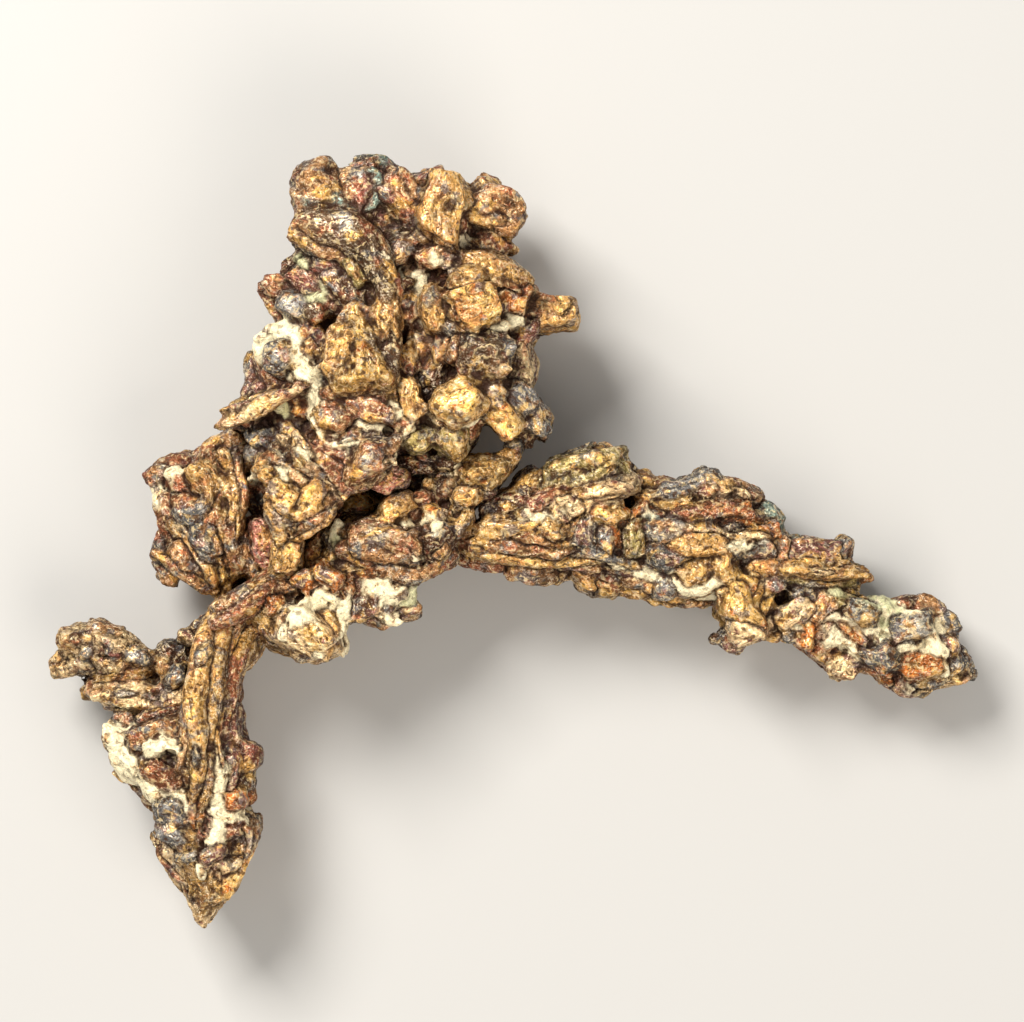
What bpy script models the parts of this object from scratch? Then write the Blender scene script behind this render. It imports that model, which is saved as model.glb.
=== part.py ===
"""A nugget of native copper grown together with calcite, lying on its back.

It is one natural branching piece, cut at its main forks into six sub-parts: a crown, a small lobe on the
crown's left, a middle bar that every branch grows from, a long right arm, a pointed lower leg and a short
side spur. Each branch is a pile of intergrown crystals. The front of every branch is listed crystal by
crystal below, and its back repeats the front in reverse, a little smaller and turned, so that both sides
share one outline. The lowest crystals are worn flat where the nugget rests. Metres, +Z up.
"""

import math

import bmesh
import bpy
import numpy as np
from mathutils import Vector

# ---------------------------------------------------------------- driving dimensions
SQUARE = 0.0016  # side of one square of the drawing sheet the crystals are laid out on
SHEET_CENTRE = (51.33, 54.22)  # the sheet point above the origin: x to the right, y down the sheet
VOXEL = 0.00062  # grain at which touching crystals are melted into one body
TRIANGLES = 7700  # triangles left on the whole nugget before it is cut at its forks
FORK_GAP = 0.0003  # gap left between two sub-parts where they meet at a fork
ROUNDING = 0.2  # added to a crystal's length and width, in squares, for what the melting wears off its ends
BACK_SHARE = 0.90  # how far a back crystal sits from the middle surface, against its front twin
BACK_SIZE = 0.97  # size of a back crystal against its front twin
COPPER_COLOUR = (0.45, 0.24, 0.10, 1.0)

# Height of each branch's middle surface above the ground, in squares. The arm's falls towards its tip.
CROWN_MIDDLE = 11.5
LOBE_MIDDLE = 8.5
BAR_MIDDLE = 10.5
LEG_MIDDLE = 9.5
SPUR_MIDDLE = 7.0
ARM_MIDDLE_ROOT = 10.0
ARM_MIDDLE_TIP = 5.5
ARM_ROOT_X = 56.0
ARM_TIP_X = 96.0

# Depth of a crystal of each form, as a share of the square root of its length times its width.
DEPTH = {"nugget": 0.90, "block": 0.84, "blade": 0.62, "spike": 0.74, "rib": 0.66, "crust": 0.55}

# Crystals, one to a row: x, y, height above the branch's middle surface, length, width, turn, form.
# Lengths are in squares. The turn is in degrees, anticlockwise from +X. Forms: nugget, a rounded lump with
# many small faces; block, a bevelled box; blade, pointed at both ends; spike, pointed at its far end;
# rib, a long fibre; crust, a low patch of calcite.
CROWN = [
    # crest, left to right
    (32.0, 19.0, 4.5, 5.6, 5.2, 5, "nugget"),
    (31.6, 20.9, 5.0, 3.8, 1.8, -8, "nugget"),
    (36.3, 20.0, 5.0, 5.6, 4.6, 68, "nugget"),
    (35.2, 18.2, 4.6, 3.0, 2.4, 40, "nugget"),
    (38.2, 17.3, 3.2, 7.0, 2.2, -24, "blade"),
    (36.7, 17.2, 3.6, 3.2, 2.4, -20, "nugget"),
    (40.8, 20.7, 6.0, 7.2, 3.2, -57, "rib"),
    (41.0, 18.6, 3.4, 3.4, 2.0, -35, "nugget"),
    (43.0, 18.5, 4.0, 3.2, 2.8, 12, "block"),
    (44.3, 21.3, 7.0, 7.6, 4.4, 86, "block"),
    (43.0, 22.0, 6.5, 5.6, 1.9, 80, "rib"),
    (45.9, 20.0, 5.6, 3.6, 2.6, -62, "nugget"),
    (44.7, 23.6, 7.6, 3.4, 2.6, 84, "rib"),
    (48.8, 18.9, 3.6, 2.6, 2.4, -20, "nugget"),
    (49.9, 21.4, 4.6, 5.0, 4.2, -35, "block"),
    (48.7, 22.4, 5.6, 3.6, 1.6, -20, "rib"),
    (50.9, 21.0, 4.0, 3.4, 2.8, -48, "nugget"),
    (48.3, 20.6, 5.2, 2.8, 1.4, 30, "rib"),
    (46.2, 23.2, 5.6, 2.2, 1.5, 80, "nugget"),
    (49.3, 24.3, 3.4, 5.4, 2.0, -12, "blade"),
    (47.6, 25.0, 4.4, 3.6, 1.8, -5, "nugget"),
    (51.0, 25.4, 3.0, 2.0, 0.9, 14, "blade"),
    # dark hollow under the crest
    (38.9, 22.8, 5.0, 3.8, 2.2, -42, "nugget"),
    (41.9, 23.9, 5.4, 2.6, 1.2, -15, "nugget"),
    (40.4, 23.8, 5.6, 1.6, 1.0, 10, "nugget"),
    (46.3, 24.1, 6.0, 1.4, 0.9, 35, "nugget"),
    # left shoulder and the band that runs down from it
    (33.6, 24.0, 6.2, 8.8, 3.8, -14, "block"),
    (32.6, 22.6, 6.0, 6.2, 1.7, 2, "rib"),
    (31.6, 25.0, 6.4, 3.2, 1.8, -25, "nugget"),
    (37.4, 25.3, 7.4, 5.8, 3.2, -52, "rib"),
    (38.9, 28.5, 8.6, 6.0, 2.3, -80, "rib"),
    (38.5, 28.5, 9.2, 2.0, 1.3, -85, "nugget"),
    (39.1, 31.8, 9.2, 5.8, 2.3, -88, "rib"),
    (39.0, 35.8, 8.2, 7.0, 1.9, 88, "blade"),
    (39.4, 26.8, 8.8, 1.8, 0.6, -65, "blade"),
    # dark red hackly patch and the left spike
    (30.4, 26.7, 4.0, 3.8, 2.2, 28, "block"),
    (33.2, 26.9, 5.6, 4.2, 2.0, -20, "block"),
    (31.2, 28.7, 5.0, 4.8, 2.0, -34, "block"),
    (34.0, 29.0, 6.4, 3.8, 2.0, -50, "block"),
    (32.9, 30.3, 5.6, 3.0, 1.6, -35, "nugget"),
    (30.7, 27.1, 5.6, 2.0, 1.1, -60, "nugget"),
    (32.5, 28.9, 6.4, 2.0, 1.0, -55, "nugget"),
    (31.8, 30.1, 6.4, 1.3, 1.0, 20, "nugget"),
    (36.0, 27.5, 8.0, 2.8, 1.4, -68, "nugget"),
    (35.6, 29.2, 6.6, 3.6, 1.9, -66, "block"),
    (28.9, 29.2, 3.2, 5.2, 2.4, -22, "block"),
    (27.2, 29.0, 2.6, 2.2, 2.4, -60, "nugget"),
    (27.9, 30.9, 2.6, 3.2, 1.8, -65, "nugget"),
    (28.9, 27.0, 2.6, 1.9, 1.2, 62, "spike"),
    (29.8, 31.0, 5.4, 3.8, 1.9, -22, "block"),
    (32.0, 31.6, 6.4, 2.3, 1.8, -45, "block"),
    (31.3, 32.6, 5.0, 4.6, 1.3, -28, "blade"),
    # the large gold crystal
    (36.6, 35.4, 9.4, 8.8, 4.4, -70, "nugget"),
    (35.7, 32.0, 8.0, 3.6, 3.0, 60, "nugget"),
    (34.2, 36.0, 8.4, 4.8, 3.4, 76, "nugget"),
    (34.4, 38.2, 7.6, 4.0, 1.3, -2, "rib"),
    (34.9, 39.4, 8.0, 4.8, 1.7, -5, "rib"),
    # calcite web at the left edge, with crystals standing out of it
    (29.0, 34.6, 2.6, 6.6, 4.2, 32, "crust"),
    (31.2, 38.0, 4.4, 5.6, 3.0, -62, "crust"),
    (28.1, 35.9, 5.0, 3.5, 3.2, 30, "nugget"),
    (31.0, 35.2, 5.6, 2.1, 1.9, 70, "nugget"),
    (27.9, 38.0, 4.2, 3.8, 2.4, -50, "block"),
    (26.3, 36.9, 3.0, 3.0, 1.5, -75, "block"),
    (25.1, 37.1, 1.6, 4.2, 1.0, 84, "blade"),
    (25.1, 38.9, 2.2, 2.0, 1.5, 60, "nugget"),
    # the long blade pointing down and left
    (26.6, 40.5, 5.2, 11.0, 2.0, 24, "blade"),
    (28.8, 39.4, 5.4, 5.6, 1.6, 24, "rib"),
    (23.8, 40.8, 3.6, 3.4, 0.9, 48, "blade"),
    (30.2, 38.9, 7.0, 2.6, 1.4, 25, "nugget"),
    (30.4, 40.5, 5.2, 2.2, 1.7, 75, "block"),
    # lower centre: leaning crystals with white seams
    (33.7, 41.9, 7.6, 4.2, 2.7, -8, "nugget"),
    (34.0, 41.6, 8.2, 2.0, 1.4, 10, "nugget"),
    (37.4, 41.1, 8.0, 4.6, 2.0, -24, "block"),
    (40.4, 41.7, 7.4, 3.8, 1.9, 14, "block"),
    (35.7, 43.9, 7.8, 4.5, 1.5, 6, "blade"),
    (33.3, 44.9, 6.8, 3.8, 2.0, -52, "block"),
    (35.0, 46.5, 6.4, 2.8, 1.6, -60, "nugget"),
    (37.4, 46.0, 8.2, 6.2, 3.2, 30, "nugget"),
    (30.8, 44.7, 7.2, 3.8, 1.8, -56, "nugget"),
    (28.9, 44.2, 6.2, 3.0, 1.0, -30, "blade"),
    (29.2, 42.1, 4.6, 2.6, 1.8, -20, "block"),
    (31.8, 41.7, 6.6, 4.2, 0.8, -76, "crust"),
    (33.8, 44.2, 6.8, 3.8, 0.7, -46, "crust"),
    (37.0, 42.8, 7.4, 2.9, 0.8, -18, "crust"),
    (39.6, 41.5, 7.8, 2.0, 0.6, -28, "crust"),
    (40.7, 43.3, 6.8, 2.9, 0.6, 50, "crust"),
    (39.0, 46.2, 7.8, 2.2, 0.7, 35, "crust"),
    (26.5, 43.4, 3.6, 3.4, 2.4, 30, "block"),
    (25.9, 45.2, 3.6, 2.6, 2.0, 80, "block"),
    (28.0, 45.4, 5.4, 3.4, 1.2, -50, "blade"),
    # centre column, down to its foot
    (27.4, 46.8, 6.2, 4.0, 2.1, -12, "block"),
    (27.8, 48.3, 7.2, 3.4, 1.6, -40, "block"),
    (29.1, 46.9, 7.2, 3.6, 1.1, -54, "blade"),
    (30.3, 46.9, 7.0, 5.4, 1.2, -48, "blade"),
    (31.7, 47.0, 7.8, 7.4, 1.3, -43, "blade"),
    (33.1, 47.4, 7.6, 5.8, 1.3, -40, "blade"),
    (33.9, 48.9, 7.4, 3.6, 1.2, -30, "blade"),
    (28.7, 49.7, 8.4, 3.6, 3.6, -20, "block"),
    (29.0, 51.6, 7.8, 4.8, 2.4, -82, "spike"),
    (31.5, 49.9, 7.8, 4.6, 2.2, 55, "block"),
    (32.1, 52.0, 8.2, 7.4, 1.5, 33, "blade"),
    (33.6, 50.7, 7.4, 4.6, 1.3, 38, "blade"),
    (28.9, 55.3, 6.2, 4.0, 3.0, 78, "block"),
    (28.6, 57.0, 5.6, 3.4, 2.0, 20, "nugget"),
    (34.6, 49.2, 6.6, 2.4, 1.4, 15, "nugget"),
    (36.3, 48.5, 7.4, 4.8, 1.1, 24, "blade"),
    # right face
    (40.4, 25.3, 6.2, 2.9, 2.7, 10, "nugget"),
    (43.6, 25.9, 6.6, 3.8, 2.4, 22, "block"),
    (43.5, 26.3, 7.6, 0.9, 1.6, 20, "nugget"),
    (41.0, 28.7, 5.4, 2.9, 2.4, 40, "crust"),
    (41.0, 28.6, 6.4, 1.2, 0.7, -40, "block"),
    (41.0, 30.9, 5.8, 3.2, 1.6, 80, "nugget"),
    (41.8, 30.9, 6.0, 1.6, 0.6, 75, "crust"),
    (46.2, 25.5, 5.2, 2.6, 1.4, 10, "nugget"),
    (49.6, 27.3, 6.6, 7.4, 2.4, -21, "rib"),
    (46.9, 28.0, 7.8, 3.4, 2.6, 20, "nugget"),
    (43.9, 28.7, 4.0, 3.4, 2.0, 25, "block"),
    (43.4, 31.3, 8.2, 5.0, 2.2, -84, "rib"),
    (43.2, 30.4, 8.8, 2.2, 1.4, -80, "nugget"),
    (47.4, 30.9, 8.6, 5.0, 4.4, 10, "block"),
    (46.2, 31.6, 9.2, 2.6, 2.2, 50, "nugget"),
    (50.4, 28.5, 6.2, 3.8, 1.8, -20, "nugget"),
    (51.5, 30.2, 6.4, 3.9, 2.8, 62, "block"),
    (53.8, 31.3, 3.8, 3.2, 3.2, -5, "block"),
    (55.5, 31.5, 3.4, 4.6, 3.8, -6, "spike"),
    (55.9, 31.3, 4.6, 1.0, 2.8, -12, "nugget"),
    (52.3, 33.4, 4.8, 3.6, 2.2, 28, "nugget"),
    (51.1, 32.6, 5.4, 2.6, 0.8, 2, "crust"),
    (45.2, 33.2, 8.0, 2.8, 1.4, 5, "nugget"),
    (48.8, 35.9, 8.4, 5.6, 4.4, -22, "nugget"),
    (50.0, 36.8, 9.0, 2.8, 2.2, -30, "nugget"),
    (46.2, 35.2, 7.8, 3.2, 2.8, 40, "nugget"),
    (44.6, 34.9, 6.6, 3.4, 2.2, 70, "block"),
    (43.9, 36.8, 6.2, 4.0, 1.9, 75, "block"),
    (41.9, 34.6, 5.8, 3.4, 2.2, -65, "nugget"),
    (41.1, 36.8, 6.6, 6.0, 1.9, -87, "blade"),
    (41.3, 40.0, 7.6, 4.4, 2.3, -76, "block"),
    (43.1, 38.9, 5.6, 6.4, 1.4, 82, "rib"),
    (46.0, 40.3, 9.2, 5.5, 4.4, 14, "nugget"),
    (46.6, 42.5, 7.6, 2.6, 0.8, 24, "crust"),
    (52.3, 37.0, 5.2, 4.8, 2.3, 84, "nugget"),
    (52.9, 35.9, 3.6, 3.0, 1.0, -82, "blade"),
    (49.4, 38.9, 7.2, 3.0, 1.8, -10, "nugget"),
    (52.1, 39.9, 6.0, 3.4, 2.4, -42, "block"),
    (50.0, 41.8, 6.8, 4.8, 2.5, -52, "block"),
    (53.3, 41.6, 4.4, 5.0, 2.5, -58, "nugget"),
    (54.3, 43.1, 3.6, 2.2, 1.2, -72, "nugget"),
    (51.3, 44.6, 3.2, 2.4, 1.5, -65, "nugget"),
    # lower right
    (45.3, 43.7, 6.6, 5.0, 3.2, -76, "nugget"),
    (47.0, 43.7, 4.6, 3.8, 1.5, 70, "nugget"),
    (42.0, 44.2, 6.6, 2.9, 2.6, 15, "nugget"),
    (44.2, 42.0, 6.8, 3.0, 1.8, -30, "nugget"),
    (42.0, 46.4, 3.0, 4.0, 2.2, 12, "block"),
    (44.6, 46.4, 3.6, 2.6, 1.8, -20, "nugget"),
    (38.5, 44.2, 5.6, 3.0, 2.2, 60, "nugget"),
    (27.2, 41.6, 3.0, 5.6, 2.4, 24, "block"),
    # the deep floor of the gaps below and left of the column
    (26.2, 54.8, -3.0, 6.4, 3.4, -72, "crust"),
    (26.0, 49.4, -2.6, 5.0, 3.0, -85, "block"),
    (39.4, 48.2, -2.6, 5.0, 4.2, 25, "crust"),
    (34.6, 51.0, -2.4, 7.4, 3.4, 30, "block"),
    (31.0, 54.6, -2.4, 3.6, 2.8, 60, "block"),
    (42.8, 48.2, -2.0, 4.0, 3.2, 20, "block"),
]
LOBE = [
    (22.8, 44.5, 3.4, 4.8, 2.6, 24, "block"),
    (20.8, 45.5, 2.6, 3.6, 1.8, 34, "rib"),
    (23.4, 46.3, 4.2, 3.8, 1.5, -62, "rib"),
    (22.2, 46.4, 4.0, 4.0, 1.4, -55, "rib"),
    (24.6, 45.6, 3.4, 3.4, 1.4, -75, "rib"),
    (17.4, 46.2, 2.4, 3.8, 1.7, 14, "nugget"),
    (16.3, 47.8, 2.8, 3.0, 2.8, 30, "nugget"),
    (17.7, 47.2, 4.2, 1.2, 0.8, 15, "block"),
    (20.4, 47.7, 4.8, 3.4, 2.7, -66, "block"),
    (18.6, 48.6, 4.0, 2.8, 2.2, -50, "nugget"),
    (22.3, 49.2, 4.4, 3.6, 2.0, 75, "rib"),
    (23.6, 50.6, 5.0, 7.4, 1.6, -86, "rib"),
    (24.6, 55.0, 4.2, 7.4, 1.5, -72, "rib"),
    (23.3, 54.8, 4.6, 6.0, 1.3, -80, "rib"),
    (25.4, 57.6, 3.8, 2.6, 1.4, -55, "nugget"),
    (16.5, 49.8, 3.2, 2.3, 1.0, -52, "crust"),
    (19.4, 50.8, 4.8, 3.8, 3.4, 10, "nugget"),
    (21.4, 51.4, 5.0, 3.2, 2.4, 80, "nugget"),
    (20.6, 54.0, 4.8, 4.8, 2.8, -60, "block"),
    (19.0, 53.0, 4.4, 3.6, 2.0, -60, "nugget"),
    (22.4, 56.2, 4.6, 5.8, 1.8, -75, "blade"),
    (17.3, 51.6, 3.2, 3.8, 2.6, -70, "block"),
    (16.7, 53.1, 2.6, 1.9, 1.5, 40, "nugget"),
    (16.5, 55.1, 2.6, 3.2, 2.3, 62, "nugget"),
    (16.7, 57.8, 1.8, 2.1, 1.4, -20, "nugget"),
    (16.0, 56.6, 1.8, 2.0, 1.4, -60, "nugget"),
    (18.8, 56.0, 3.8, 5.4, 2.8, -38, "block"),
    (20.6, 57.4, 4.0, 4.4, 2.2, -52, "block"),
    (21.9, 58.8, 3.2, 3.0, 1.8, -50, "nugget"),
]
BAR = [
    # bridge under the crown's right foot
    (48.1, 47.3, 4.6, 6.0, 3.5, 12, "nugget"),
    (50.2, 46.7, 4.0, 4.2, 1.9, 50, "block"),
    (46.8, 49.6, 5.4, 3.4, 2.6, 25, "nugget"),
    (48.6, 49.0, 4.4, 2.6, 2.0, 30, "nugget"),
    (45.5, 46.8, 4.4, 2.2, 0.7, 72, "crust"),
    (43.2, 47.6, 3.4, 1.9, 1.4, 70, "nugget"),
    (44.6, 47.7, 3.6, 2.0, 1.6, -20, "nugget"),
    (42.7, 48.9, 4.2, 1.7, 1.3, 80, "nugget"),
    (45.1, 49.0, 4.2, 2.0, 1.5, 30, "nugget"),
    (43.9, 49.4, 4.0, 1.8, 1.4, 20, "nugget"),
    (43.4, 51.3, 6.0, 2.8, 1.6, -24, "nugget"),
    (39.6, 50.8, 5.6, 4.6, 2.3, 28, "block"),
    (42.0, 50.2, 5.0, 2.6, 1.8, 50, "block"),
    (37.6, 51.8, 4.8, 3.4, 1.6, 20, "nugget"),
    (46.5, 52.2, 5.4, 3.0, 2.0, 72, "nugget"),
    (45.8, 51.2, 3.6, 2.0, 1.6, 10, "nugget"),
    # front of the bar
    (38.4, 54.2, 5.6, 7.2, 3.6, -8, "block"),
    (36.2, 52.8, 5.8, 3.8, 1.8, 12, "nugget"),
    (38.8, 53.2, 6.6, 4.6, 0.6, -22, "crust"),
    (41.0, 54.9, 6.2, 2.2, 0.7, -60, "crust"),
    (43.5, 53.9, 5.6, 4.8, 3.4, 12, "nugget"),
    (43.4, 52.8, 7.0, 1.3, 0.9, 10, "block"),
    (44.4, 54.8, 6.2, 2.4, 1.6, 30, "nugget"),
    (42.4, 56.5, 3.2, 5.8, 2.4, 26, "nugget"),
    (44.6, 55.9, 3.0, 3.2, 1.6, 26, "nugget"),
    (41.4, 55.9, 5.6, 1.4, 0.8, 10, "nugget"),
    (35.8, 55.3, 5.6, 3.8, 2.9, -35, "nugget"),
    (36.9, 57.0, 5.2, 3.4, 1.9, -10, "nugget"),
    (39.6, 56.9, 4.2, 3.4, 1.8, 10, "nugget"),
    (33.4, 54.5, 5.0, 4.0, 2.0, -70, "nugget"),
    (31.7, 54.3, 3.8, 4.0, 1.6, 60, "block"),
    (33.4, 53.2, 6.0, 2.4, 1.1, 62, "crust"),
    (33.9, 56.1, 4.2, 3.2, 1.4, -50, "rib"),
    # amber crystals above the knob
    (30.8, 58.0, 6.6, 3.2, 2.6, 20, "nugget"),
    (33.0, 57.7, 7.0, 3.2, 2.6, -30, "block"),
    (34.5, 58.7, 6.0, 2.2, 1.9, 50, "nugget"),
    (31.8, 59.7, 6.8, 4.4, 1.2, -10, "crust"),
    (27.6, 60.5, 7.0, 2.2, 1.9, 60, "nugget"),
    # knob
    (29.2, 62.3, 6.4, 6.6, 4.4, -12, "nugget"),
    (31.9, 63.7, 6.0, 5.4, 4.4, -52, "nugget"),
    (27.4, 63.3, 5.4, 4.0, 2.4, -20, "nugget"),
    (32.3, 64.3, 8.3, 1.6, 1.1, -20, "nugget"),
    (29.4, 61.6, 8.2, 2.8, 1.6, -10, "nugget"),
    (33.8, 62.9, 4.8, 4.8, 0.9, -74, "crust"),
    # calcite cluster
    (38.6, 58.8, 4.8, 4.6, 3.0, -18, "crust"),
    (36.4, 59.0, 4.8, 2.8, 2.2, 40, "crust"),
    (40.1, 59.4, 4.2, 2.8, 2.6, 60, "crust"),
    (36.0, 60.8, 4.4, 2.8, 2.4, 20, "block"),
    (37.9, 60.6, 5.0, 2.2, 1.8, -30, "block"),
    (37.4, 61.9, 3.4, 4.4, 1.5, -14, "nugget"),
    (40.4, 61.3, 3.6, 3.0, 1.9, 8, "nugget"),
    (39.2, 61.6, 4.2, 2.6, 1.1, 5, "block"),
    # curved ribs running into the leg
    (25.0, 59.0, 5.6, 8.6, 1.7, 25, "rib"),
    (24.6, 60.5, 6.4, 8.0, 1.9, 33, "rib"),
    (28.2, 59.0, 6.2, 4.6, 1.6, 8, "rib"),
]
LEG = [
    (22.0, 60.9, 4.4, 4.0, 1.8, 50, "rib"),
    (22.4, 64.2, 5.0, 8.0, 3.2, 64, "rib"),
    (24.0, 63.0, 4.6, 5.0, 1.8, 55, "rib"),
    (20.5, 67.3, 5.0, 6.8, 2.2, 76, "rib"),
    (21.3, 71.4, 5.8, 10.6, 2.0, 86, "rib"),
    (19.3, 73.5, 5.0, 9.4, 2.1, 89, "rib"),
    (19.6, 72.8, 6.0, 2.6, 1.4, 80, "nugget"),
    (20.2, 79.3, 4.8, 7.4, 1.7, -84, "rib"),
    (22.9, 68.4, 4.6, 8.0, 2.2, 82, "rib"),
    (24.7, 65.2, 3.2, 4.8, 2.6, 62, "nugget"),
    (25.4, 63.6, 2.6, 3.0, 2.4, 50, "nugget"),
    (23.1, 72.4, 4.2, 4.8, 2.4, 88, "block"),
    (24.6, 76.0, 3.6, 3.0, 2.8, 40, "nugget"),
    (24.4, 78.0, 3.8, 2.6, 2.4, -20, "nugget"),
    (23.4, 76.6, 4.6, 3.2, 1.6, 80, "block"),
    (23.9, 79.9, 4.2, 3.0, 2.2, 10, "block"),
    (22.0, 77.2, 4.4, 5.8, 1.4, 84, "crust"),
    (22.3, 80.9, 4.2, 5.2, 1.6, -18, "crust"),
    (21.8, 83.2, 4.0, 3.0, 1.4, 70, "crust"),
    (20.7, 82.2, 5.0, 4.2, 1.4, 88, "rib"),
    (23.3, 82.7, 4.4, 2.8, 1.4, 14, "block"),
    # left flank, calcite between blocks
    (13.8, 75.6, 1.6, 7.6, 4.4, -56, "crust"),
    (16.8, 79.0, 2.2, 5.4, 3.6, -30, "crust"),
    (13.6, 74.0, 2.4, 4.0, 3.4, 0, "crust"),
    (11.4, 73.9, 3.0, 1.7, 1.6, 20, "nugget"),
    (15.8, 73.2, 4.2, 4.8, 2.3, 14, "block"),
    (13.9, 73.8, 4.0, 2.6, 1.7, -60, "block"),
    (12.4, 71.9, 2.6, 2.2, 1.5, 10, "nugget"),
    (15.6, 71.5, 2.4, 5.8, 1.3, 14, "rib"),
    (16.6, 74.5, 5.0, 3.2, 1.0, -4, "nugget"),
    (17.0, 75.7, 4.2, 3.4, 1.1, -5, "block"),
    (16.9, 77.4, 4.4, 4.2, 2.2, -20, "block"),
    (14.8, 77.0, 4.0, 2.4, 1.2, 85, "block"),
    (14.0, 78.2, 0.6, 7.0, 1.4, -52, "rib"),
    (12.0, 75.8, 2.0, 2.8, 1.4, -50, "nugget"),
    (17.4, 80.9, 4.6, 3.6, 2.5, -20, "nugget"),
    (17.7, 83.2, 4.2, 3.8, 2.6, -28, "nugget"),
    # pointed foot
    (20.5, 86.7, 1.2, 12.8, 8.8, -92, "spike"),
    (20.6, 85.0, 2.8, 6.4, 4.6, 10, "block"),
    (25.0, 82.8, 1.6, 3.8, 1.8, -68, "nugget"),
    (24.0, 85.2, 2.4, 5.4, 2.4, 66, "block"),
    (16.3, 84.5, 0.8, 3.6, 1.6, -58, "nugget"),
    (17.3, 86.3, 0.8, 4.6, 1.4, -48, "rib"),
    (21.9, 85.7, 4.6, 2.6, 1.8, 25, "block"),
    (19.3, 85.7, 4.4, 3.0, 1.4, 5, "nugget"),
    (19.9, 90.3, 0.6, 4.4, 2.4, -88, "spike"),
    # nubs at the leg's upper left
    (19.0, 63.8, 2.6, 2.4, 1.3, -20, "nugget"),
    (20.0, 62.6, 2.4, 1.9, 1.5, 30, "nugget"),
]
SPUR = [
    (7.7, 64.4, 1.6, 4.0, 4.0, 15, "nugget"),
    (5.9, 66.6, 0.6, 2.4, 2.2, 20, "nugget"),
    (7.8, 66.4, 1.6, 3.2, 1.3, 18, "nugget"),
    (10.3, 63.4, 2.0, 3.6, 2.4, -28, "block"),
    (12.8, 65.2, 2.4, 9.4, 3.4, -22, "spike"),
    (11.0, 65.9, 3.0, 4.4, 1.4, -10, "rib"),
    (10.9, 64.8, 3.4, 2.6, 1.3, 5, "block"),
    (12.6, 67.3, 2.4, 7.8, 1.4, 8, "blade"),
    (16.2, 66.6, 3.2, 2.2, 1.4, -50, "nugget"),
    (8.9, 69.0, 0.2, 2.4, 1.5, 10, "nugget"),
    (14.4, 69.7, 2.2, 8.8, 2.9, -5, "block"),
    (12.6, 69.4, 3.4, 3.0, 1.4, -5, "nugget"),
    (15.0, 69.6, 3.4, 2.6, 1.2, 30, "nugget"),
    (12.9, 71.0, 1.4, 3.2, 1.4, -5, "nugget"),
    (17.7, 67.6, 4.0, 2.6, 2.2, 20, "nugget"),
    (17.2, 65.3, 2.4, 2.8, 1.9, -20, "block"),
    (18.4, 65.6, 3.0, 2.6, 2.6, 50, "nugget"),
]
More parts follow.
